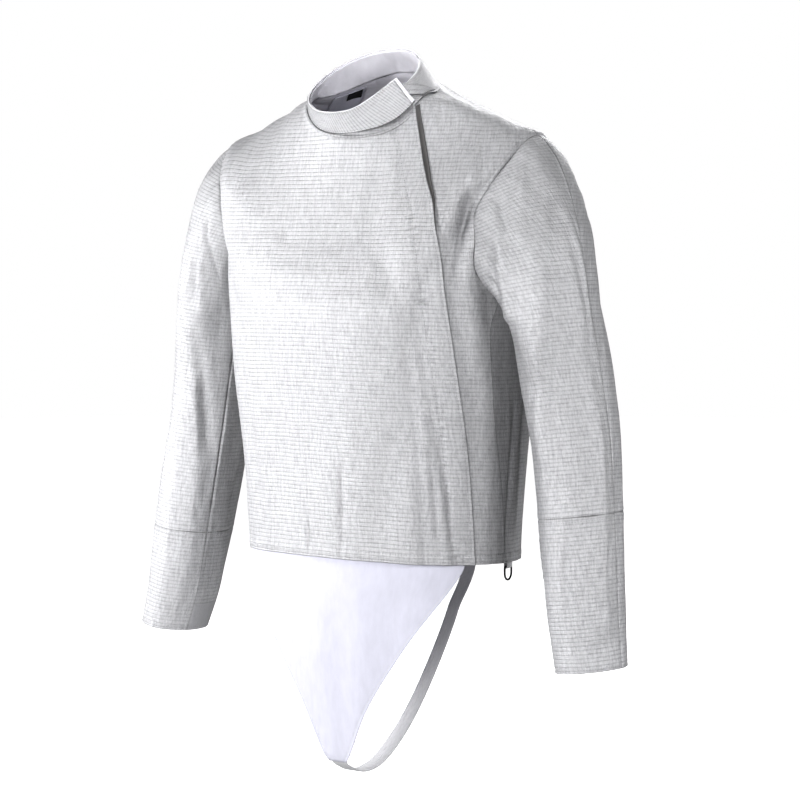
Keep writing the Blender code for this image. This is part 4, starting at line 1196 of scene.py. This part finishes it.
BESIDE_SEAM = (0.0, 0.0009, 0.0019, 0.0030, 0.0044, 0.0058, 0.0080)
BESIDE_HEM = (0.0, 0.0010, 0.0022, 0.0034, 0.0046, 0.0060, 0.0075, 0.0090, 0.0102, 0.0114, 0.0130)
BESIDE_LAP = (0.0, 0.0012, 0.0027, 0.0040, 0.0053, 0.0072, 0.0095, 0.0120, 0.0145, 0.0170, 0.0195, 0.0215,
              0.0232, 0.0246, 0.0260, 0.0274, 0.0290, 0.0310, 0.0335)


def spread(length, beside_low=(0.0,), beside_high=(0.0,)):
    """Distances along a length, close together beside both its ends."""
    count = max(int(round((length - beside_low[-1] - beside_high[-1]) / SPACING)), 1)
    middle = np.linspace(beside_low[-1], length - beside_high[-1], count + 1)
    return np.concatenate([beside_low[:-1], middle, length - np.array(beside_high)[::-1][1:]])


def spread_values(line, low, high, beside_low=(0.0,), beside_high=(0.0,)):
    """Values from low to high that cut a line on a surface into the steps of spread()."""
    fine = np.linspace(low, high, 500)
    run = run_along(line(fine))
    return np.interp(spread(run[-1], beside_low, beside_high), run, fine)


def body_rows(angle):
    """v of the rows of a panel. Its armhole part follows the turns of the armhole."""
    def line(v):
        return torso_base(np.full(len(v), angle), v)

    yoke = spread_values(line, 0.0, ARM_TOP, BESIDE_SEAM)
    skirt = spread_values(line, ARM_BOTTOM, 1.0, (0.0,), BESIDE_HEM)
    turns = np.linspace(0.0, 180.0, int(0.20 / SPACING) + 1)
    return np.concatenate([yoke[:-1], armhole_v(turns), skirt[1:]])


def body_grid(low, high, middle, beside_low, beside_high):
    """Angles and v of a panel's grid, with columns that run beside both its seams."""
    rows = body_rows(middle)[:, None]
    first, last = low(rows), high(rows)
    spans = torso_base(blend(first, last, np.linspace(0.0, 1.0, 40)), rows)
    width = gaps(spans, 1).sum(axis=1).max()
    places = spread(width, beside_low, beside_high)[None, :]
    column = np.arange(places.size)[None, :]
    low_end, high_end = len(beside_low) - 1, places.size - len(beside_high)
    near = first + inset_angle(first, rows, 1.0) * places
    far = last - inset_angle(last, rows, 1.0) * (width - places)
    share = (places - places[0, low_end]) / (places[0, high_end] - places[0, low_end])
    between = blend(near[:, low_end:low_end + 1], far[:, high_end:high_end + 1], share)
    angle = np.where(column <= low_end, near, np.where(column >= high_end, far, between))
    return angle, np.broadcast_to(rows, angle.shape)


PANELS = {
    "front_right": (lambda v: -front_side(RIGHT, v), lap_edge, 0.0, BESIDE_SEAM, BESIDE_LAP),
    "front_left": (hidden_edge, lambda v: front_side(LEFT, v), 60.0, BESIDE_SEAM, BESIDE_SEAM),
    "back": (lambda v: back_side(LEFT, v), lambda v: 360.0 - back_side(RIGHT, v), 180.0, BESIDE_SEAM,
             BESIDE_SEAM),
}


def make_body():
    for panel, shape in PANELS.items():
        angle, v = body_grid(*shape)
        shell(f"cloth_{panel}", body_skin(panel, angle, v), BODY_FLAT.map(angle, v), CLOTH, [LAME, LINING],
              panel)


def make_tape():
    v = blend(TAPE_TOP, TAPE_BOTTOM, np.linspace(0.0, 1.0, 90))[:, None]
    shown = TAPE_SHOWN * (1.0 - smooth((v - TAPE_TOP) / (TAPE_BOTTOM - TAPE_TOP), 0.35, 1.0))
    across = blend(-TAPE_HIDDEN, shown, np.linspace(0.0, 1.0, 9)[None, :])
    v = np.broadcast_to(v, across.shape)
    angle = lap_edge(v) + inset_angle(lap_edge(v), v, across)
    points = torso(angle, v, SEAM_GAP + FACET_ROOM + TAPE_WALL)
    # The tape's near-black finish paints the shadow under the lap.
    shell("cloth_placket_tape", points, BODY_FLAT.map(angle, v), TAPE_WALL, [TAPE_PAINTED_SHADE],
          "placket_tape")


# Sleeves

def sleeve_turns(side, first, last):
    def line(theta):
        return sleeve_base(side, theta, np.full(len(theta), 0.45))
    return spread_values(line, first, last, BESIDE_SEAM, BESIDE_SEAM)


def sleeve_rows(side, top, bottom, beside_bottom=BESIDE_SEAM):
    def line(s):
        return sleeve_base(side, np.full(len(s), 280.0), s)
    return spread_values(line, top, bottom, BESIDE_SEAM, beside_bottom)


def sleeve_shell(side, node, turns, rows, looks=(LAME, LINING), gone=None):
    theta, s = grid(turns, rows)
    shell(f"cloth_{node}", sleeve_skin(side, theta, s), SLEEVE_FLAT[side].map(theta, s), CLOTH, looks,
          node, turned=side == RIGHT, gone=gone)


def make_sleeve(word, side):
    cross = arm_share(CROSS_SEAM_Z[side])
    gusset_top = arm_share(ARMS[-1].z + GUSSET_HEIGHT)
    front = sleeve_turns(side, INNER_SEAM, 360.0)
    rear = sleeve_turns(side, 0.0, INNER_SEAM)
    upper = sleeve_rows(side, 0.0, cross)
    fore = sleeve_rows(side, cross, 1.0, BESIDE_HEM)
    name = f"sleeve_{word}"
    sleeve_shell(side, f"{name}_front_upper", front, upper)
    sleeve_shell(side, f"{name}_back_upper", rear, upper)
    sleeve_shell(side, f"{name}_front_fore", front, fore)

    outer = sleeve_turns(side, 0.0, GUSSET_ANGLE)
    inner = sleeve_turns(side, GUSSET_ANGLE, INNER_SEAM)
    above = sleeve_rows(side, cross, gusset_top)
    below = sleeve_rows(side, gusset_top, 1.0, BESIDE_HEM)
    turns, rows = np.concatenate([outer, inner[1:]]), np.concatenate([above, below[1:]])
    notch = (turns[None, :] > GUSSET_ANGLE + 1e-6) & (rows[:, None] > gusset_top + 1e-6)
    sleeve_shell(side, f"{name}_back_fore", turns, rows, gone=notch)
    sleeve_shell(side, f"cuff_gusset_{word}", inner, below, (KNIT, LINING))


# Collar and labels

def collar_relief(angle, height):
    u, v = angle * 0.00125, height * COLLAR_HEIGHT
    relief = 0.0007 * unevenness(u, v, 0.022, 0.060, 31.0) * smooth(height, 0.0, 0.2)
    relief -= 0.0003 * bell((1.0 - height) * COLLAR_HEIGHT - 0.0045, 0.0010)
    relief -= 0.0003 * bell(v - 0.0040, 0.0010)
    return relief


def stand_skin(angle, height, out=0.0):
    return stand_place(angle, height, collar_relief(angle, height) + out)


def make_collar_bands():
    columns = int(0.48 / SPACING)
    down = 1.0 - spread(COLLAR_HEIGHT, BESIDE_SEAM, BESIDE_SEAM) / COLLAR_HEIGHT
    angle, height = grid(np.linspace(COLLAR_END, COLLAR_FREE_END, columns + 1), down)
    flat = paired(np.radians(angle) * COLLAR_RADIUS, height * COLLAR_HEIGHT)
    shell("cloth_collar_stand", stand_skin(angle, height), flat, COLLAR_WALL, [COLLAR_LAME, LINING],
          "collar_stand")

    angle, height = grid(np.linspace(COLLAR_END, LINING_START, columns),
                         np.linspace(LINING_HIGH, LINING_LOW, 20))
    flat = paired(np.radians(angle) * 0.070, height * 0.048)
    wrinkle = 0.0008 * (unevenness(flat[..., 0], flat[..., 1], 0.012, 0.035, 41.0) - 0.6)
    points = stand_place(angle, height, wrinkle - COLLAR_WALL - SEAM_GAP - LABEL_WALL, 0.0)
    shell("cloth_collar_lining", points, flat, LABEL_WALL * 0.8, [LINING], "collar_lining",
          turned=True)


def make_collar_edges():
    """The piping along the rim, the rolled seam round the front of the neck and the free end's binding."""
    turn = np.linspace(COLLAR_END, COLLAR_FREE_END, 200)
    rim = stand_place(turn, np.full(200, 1.0), -COLLAR_WALL / 2)
    inside = stand_place(turn, np.full(200, 0.9), -COLLAR_WALL / 2)
    piping = tube_mesh("collar_piping", rim, inside - rim, 0.0009)
    add_piece("collar_piping", piping, [ELASTIC])

    turn = np.linspace(-75.0, 56.0, 160)
    drop = np.maximum(read(NECK_DROP, turn, "v"), 0.0) + 0.006 + 0.008 * smooth(turn, -10.0, 40.0)
    fade = smooth(turn, -75.0, -55.0) * (1.0 - smooth(turn, 48.0, 56.0))
    roll = torso(turn, drop, lap_lift(turn, drop) - 0.0008 + 0.0008 * fade)
    down = torso(turn, drop + 0.01) - torso(turn, drop - 0.01)
    add_piece("neck_seam_roll", tube_mesh("neck_seam_roll", roll, down, 0.0016), [LAME])

    edge, rise = grid(COLLAR_FREE_END + np.linspace(-2.8, 0.3, 5), np.linspace(1.0, 0.02, 30))
    flat = paired(np.radians(edge) * COLLAR_RADIUS, rise * COLLAR_HEIGHT)
    points = stand_place(edge, rise, 0.0008 + 0.0006 * bell(edge - 70.0, 1.2))
    binding = grid_mesh("collar_end_binding", points, flat)
    give_wall(add_piece("collar_end_binding", binding, [LINING]), BINDING_WALL)


def make_collar_tab():
    share = np.linspace(0.0, 1.0, 24)
    across, down = grid(share, share)
    flat = paired(across * 0.030, -down * COLLAR_HEIGHT)
    swell = 0.0008 + 0.0005 * bell((1.0 - across) * 0.030, 0.002)
    shell("cloth_collar_tab", tab_place(across, down, swell), flat, TAB_WALL, [COLLAR_LAME],
          "collar_tab")


def make_label(name, sizes, depth, look):
    across, v = grid(sizes.width * np.linspace(-0.5, 0.5, 17),
                     blend(sizes.top, sizes.bottom, np.linspace(0.0, 1.0, 24)))
    angle = sizes.angle + inset_angle(sizes.angle, v, across)
    curl = 0.0010 * smooth(v, sizes.top, sizes.bottom) * (1 - np.cos(across / 0.006))
    points = torso(angle, v, -depth - LABEL_WALL - curl)
    shell(f"cloth_{name}", points, paired(across, v * 0.2), LABEL_WALL, [look], name,
          turned=True)


def make_labels():
    first = LAYER + 2 * FACET_ROOM
    make_label("care_label", CARE_LABEL, first, WHITE)
    make_label("size_label", SIZE_LABEL, first + LABEL_WALL + SEAM_GAP, TAG)


# Crotch panel, strap, loop and ring

def crotch_skin(share, z, out=0.0):
    half = read(CROTCH, z, "half_width")
    u = half * share
    edge = half * (1.0 - np.abs(share)) * CROTCH_EDGE_SLANT
    below_hem = smooth(-z, 0.525, 0.560)
    relief = 0.0012 * unevenness(u, z, 0.030, 0.100, 51.0) * below_hem
    relief -= 0.0003 * bell(edge - CROTCH_STITCH_INSET, 0.0010)
    return crotch_place(share, z, relief * below_hem + out)


def make_crotch():
    top, tip = CROTCH[0].z, CROTCH[-1].z
    half = CROTCH[0].half_width
    places = spread(2 * half, BESIDE_SEAM, BESIDE_SEAM)
    share, z = grid(places / half - 1.0, np.linspace(top, tip, int((top - tip) / SPACING) + 1))
    flat = paired(share * read(CROTCH, z, "half_width"), -z)
    shell("cloth_crotch_panel", crotch_skin(share, z), flat, CROTCH_WALL, [WHITE],
          "crotch_panel")


def make_strap():
    side, share = grid(np.linspace(-1.0, 1.0, 21), np.linspace(0.0, 1.0, 200))
    ribs = 0.00018 * np.cos(side * math.pi * 5)
    points = strap_place(side, share, -STRAP_WALL * 0.5 + ribs)
    flat = paired(side * STRAP_WIDTH / 2, run_along(strap_middle(share[:, 0]))[:, None])
    shell("cloth_crotch_strap", points, flat, STRAP_WALL, [ELASTIC], "crotch_strap")


def make_loop():
    """Webbing folded round the bar of the ring."""
    along, out, up, bar = loop_frame()
    radius = WIRE / 2 + RING_CLEARANCE + LOOP_WALL
    top = LOOP_TOP + LOOP_DROP - radius
    turn = np.linspace(0.0, math.pi, 13)
    x = np.concatenate([np.full(14, radius), radius * np.cos(turn), np.full(14, -radius)])
    z = np.concatenate([np.linspace(top, top / 14, 14), -radius * np.sin(turn),
                        np.linspace(top / 14, top, 14)])
    w = np.linspace(-LOOP_WIDTH / 2, LOOP_WIDTH / 2, 13)
    crown = 0.00015 * np.cos(w / LOOP_WIDTH * 6 * math.pi)
    shape = (bar + out * x[:, None, None] + up * z[:, None, None] + along * w[None, :, None])
    shape = shape + out * (crown[None, :, None] * np.sign(x + 1e-9)[:, None, None] * 0.5)
    run = np.concatenate([[0.0], np.cumsum(np.hypot(np.diff(x), np.diff(z)))])
    shell("cloth_ring_webbing", shape, paired(w[None, :], run[:, None]), LOOP_WALL, [ELASTIC],
          "ring_webbing")


def make_ring():
    """D-ring: a straight bar on the hinge, closed by a round bow below it."""
    along, out, up, bar = loop_frame()
    half, drop = (RING_WIDTH - WIRE) / 2, RING_HEIGHT - WIRE
    turn = np.linspace(0.0, math.pi, 40)
    bow = np.stack([half * np.cos(turn), half - drop - half * np.sin(turn)], axis=1)
    turn = np.linspace(0.0, math.pi / 2, 6)
    corner = np.stack([half - RING_CORNER * (1.0 - np.cos(turn)),
                       RING_CORNER * (np.sin(turn) - 1.0)], axis=1)
    outline = np.concatenate([bow, corner * (-1, 1), corner[::-1], bow[:1]])
    run = run_along(outline)
    spots = np.linspace(0.0, run[-1], 97)[:-1]
    x, z = (np.interp(spots, run, outline[:, k]) for k in range(2))
    path = bar + along * x[:, None] + up * z[:, None]
    mesh = tube_mesh("metal_d_ring", path, out, WIRE / 2, around=14, closed=True)
    add_piece("metal_d_ring", mesh, [METAL], "d_ring", body="ring")


# Stitching

def body_row(stitches, panel, angle, v):
    stitches.row(body_skin(panel, angle, v, STITCH_LIFT), torso_normal(angle, v))


def sleeve_row(stitches, side, theta, s):
    stitches.row(sleeve_skin(side, theta, s, STITCH_LIFT), sleeve_normal(side, theta, s))


def skin_row(stitches, skin, a, b):
    """A row on a surface whose normals are read from the skin itself."""
    points = skin(a, b, STITCH_LIFT)
    stitches.row(points, points - skin(a, b, -0.001))


def above_hem(angle, distance):
    step = np.linalg.norm(torso_base(angle, 1.0) - torso_base(angle, 0.99), axis=-1) / 0.01
    return 1.0 - distance / step


def make_stitching():
    body = Stitches("stitching_body", "lame_cloth", THREAD)
    v = np.linspace(0.012, 0.985, 300)
    for inset in (LAP_BORDER.rows[0], LAP_STITCH_INSET):
        body_row(body, "front_right", lap_edge(v) - inset_angle(lap_edge(v), v, inset), v)
    ends = {"front_right": (-85.5, 65.0), "front_left": (66.5, 85.5), "back": (86.5, 273.5)}
    for panel, (first, last) in ends.items():
        angle = np.linspace(first, last, 240)
        for distance in HEM.rows:
            body_row(body, panel, angle, above_hem(angle, distance))
    for side in (LEFT, RIGHT):
        angle, v = armhole_place(side, ROUND[1:-1])
        angle, v = beside(torso, angle, v, BODY_STEP, side * TOPSTITCHED_SEAM.rows[0])
        body_row(body, "back", angle, v)
    body.finish()

    sleeves = Stitches("stitching_sleeves", "lame_cloth", THREAD)
    for side in (LEFT, RIGHT):
        cross = arm_share(CROSS_SEAM_Z[side])
        s = np.linspace(0.03, 0.99, 260)
        step = sleeve_base(side, INNER_SEAM + 1, s) - sleeve_base(side, INNER_SEAM, s)
        sleeve_row(sleeves, side, INNER_SEAM + TOPSTITCHED_SEAM.rows[0] / np.linalg.norm(step, axis=-1), s)
        for share, distance in ((cross, -TOPSTITCHED_SEAM.rows[0]), (1.0, CUFF_HEM.rows[0])):
            step = sleeve_base(side, ROUND, share - 0.01) - sleeve_base(side, ROUND, share)
            sleeve_row(sleeves, side, ROUND, share - distance * 0.01 / np.linalg.norm(step, axis=-1))
    sleeves.finish()

    collar = Stitches("stitching_collar", "lame_cloth", THREAD)
    turn = np.linspace(COLLAR_END + 2, COLLAR_FREE_END - 5, 300)
    for level in (0.08, 0.91):
        skin_row(collar, stand_skin, turn, np.full(len(turn), level))
    for inset in (0.10, 0.19):
        near, far = inset, 1 - inset
        corner = np.array([(near, near), (far, near), (far, far), (near, far), (near, near)])
        path = np.concatenate([np.linspace(corner[k], corner[k + 1], 30) for k in range(4)])
        across, down = TAB_COVERED + (1.0 - TAB_COVERED) * path[:, 0], path[:, 1]
        points = tab_place(across, down, 0.0011)
        collar.row(points, points - tab_place(across, down, 0.0), pitch=0.0026, length=0.0019)
    collar.finish()

    white = Stitches("stitching_crotch", "white_cloth", WHITE_THREAD)
    z = np.linspace(-0.530, CROTCH[-1].z + 0.003, 200)
    half = read(CROTCH, z, "half_width")
    for side in (LEFT, RIGHT):
        skin_row(white, crotch_skin, side * (1.0 - CROTCH_STITCH_INSET / CROTCH_EDGE_SLANT / half), z)
    white.finish()


# Studio

def make_world():
    world = bpy.data.worlds.new("studio")
    world.use_nodes = True
    t = Tree(world.node_tree)
    world.node_tree.nodes.clear()
    seen, lit = t.node("ShaderNodeBackground"), t.node("ShaderNodeBackground")
    t.put(seen.inputs["Color"], (1.0, 1.0, 1.0, 1.0))
    t.put(lit.inputs["Color"], (1.0, 1.0, 1.0, 1.0))
    t.put(lit.inputs["Strength"], 0.02)
    mix = t.node("ShaderNodeMixShader")
    t.put(mix.inputs[0], t.node("ShaderNodeLightPath").outputs["Is Camera Ray"])
    t.put(mix.inputs[1], lit.outputs[0])
    t.put(mix.inputs[2], seen.outputs[0])
    t.put(t.node("ShaderNodeOutputWorld").inputs["Surface"], mix.outputs[0])
    bpy.context.scene.world = world


def make_floor(level):
    shape = bmesh.new()
    bmesh.ops.create_circle(shape, cap_ends=True, segments=64, radius=9.0,
                            matrix=Matrix.Translation((0.0, 0.0, level)))
    mesh = bpy.data.meshes.new("studio_floor")
    shape.to_mesh(mesh)
    shape.free()
    look, t, shader = new_material("studio_floor_finish")
    place = t.node("ShaderNodeTexCoord").outputs["Object"]
    light = t.node("ShaderNodeLightPath").outputs
    handed_on = t.math("MULTIPLY_ADD", light["Is Diffuse Ray"], -0.5, 1.0)
    tone = t.math("MULTIPLY", handed_on, t.span(t.noise(place, 3.0), 0.3, 0.7, 0.76, 0.80))
    colour = t.node("ShaderNodeCombineColor")
    for socket in colour.inputs[:3]:
        t.put(socket, tone)
    t.put(shader["Base Color"], colour.outputs[0])
    shader["Roughness"].default_value = 0.9
    shader["Emission Color"].default_value = (1.0, 1.0, 1.0, 1.0)
    t.put(shader["Emission Strength"], light["Is Camera Ray"])
    mesh.materials.append(look)
    add_object("studio_floor", mesh)


MIDDLE = (0.0, 0.0, -0.35)
LIGHT_DISTANCE, SPOT_DISTANCE, SPOT_SOFTNESS = 3.3, 3.2, 0.15

# Each area light's turn round the garment and its rise, in degrees, its size and its power
LIGHTS = (
    ("front", -26.0, 5.0, 1.0, 60.0), ("key", -75.0, 5.0, 1.0, 56.0),
    ("high_side", -50.0, 40.0, 1.0, 16.0), ("front_side", 24.0, 5.0, 1.0, 36.0),
    ("front_right", 72.0, 15.0, 1.0, 38.0), ("rim", 112.0, 5.0, 1.0, 30.0),
    ("top", 0.0, 86.0, 1.2, 28.0), ("back", 196.0, 28.0, 1.2, 44.0),
)
# Each spot's turn and rise from what it points at, that place, its cone in degrees and its power
SPOTS = (
    ("arm_light", 30.0, 0.0, (-0.245, 0.0, -0.40), 8.0, 170.0),
    ("collar_light", 40.0, 52.0, (-0.03, 0.04, 0.0), 4.2, 640.0),
)


def add_lamp(name, kind, turn, rise, distance, target, **settings):
    light = bpy.data.lights.new(name, kind)
    for field, value in settings.items():
        setattr(light, field, value)
    turn, rise = math.radians(turn), math.radians(rise)
    way = Vector((math.sin(turn) * math.cos(rise), -math.cos(turn) * math.cos(rise), math.sin(rise)))
    place = Vector(target) + way * distance
    lamp = add_object(name, light)
    lamp.location = place
    lamp.rotation_euler = (place - Vector(target)).to_track_quat("Z", "Y").to_euler()


def make_lights():
    for name, turn, rise, size, watts in LIGHTS:
        add_lamp(name, "AREA", turn, rise, LIGHT_DISTANCE, MIDDLE, shape="DISK", size=size, energy=watts)
    for name, turn, rise, target, cone, watts in SPOTS:
        add_lamp(name, "SPOT", turn, rise, SPOT_DISTANCE, target, spot_size=math.radians(cone),
                 spot_blend=1.0, energy=watts, shadow_soft_size=SPOT_SOFTNESS)


VIEW_TURN, VIEW_DISTANCE, VIEW_HEIGHT = 36.0, 3.0, -0.147
VIEW_PITCH, VIEW_ASIDE, VIEW_LENS = 3.8055, 0.5226, 118.4


def make_camera():
    camera = bpy.data.cameras.new("camera")
    camera.sensor_width, camera.lens = 36.0, VIEW_LENS
    turn = math.radians(VIEW_TURN)
    holder = add_object("camera", camera)
    holder.location = (VIEW_DISTANCE * math.sin(turn), -VIEW_DISTANCE * math.cos(turn), VIEW_HEIGHT)
    holder.rotation_euler = (math.radians(90.0 - VIEW_PITCH), 0.0, turn - math.radians(VIEW_ASIDE))
    bpy.context.scene.camera = holder


def main():
    bpy.context.scene.view_settings.view_transform = "Standard"
    bpy.context.scene.view_settings.gamma = 0.78
    make_camera()
    make_world()
    make_floor(cad_box[0][2] - 0.25)
    make_lights()

    make_body()
    make_tape()
    for word, side in SIDES.items():
        make_sleeve(word, side)
    make_collar_bands()
    make_collar_edges()
    make_collar_tab()
    make_labels()
    make_crotch()
    make_strap()
    make_loop()
    make_ring()
    make_stitching()


main()
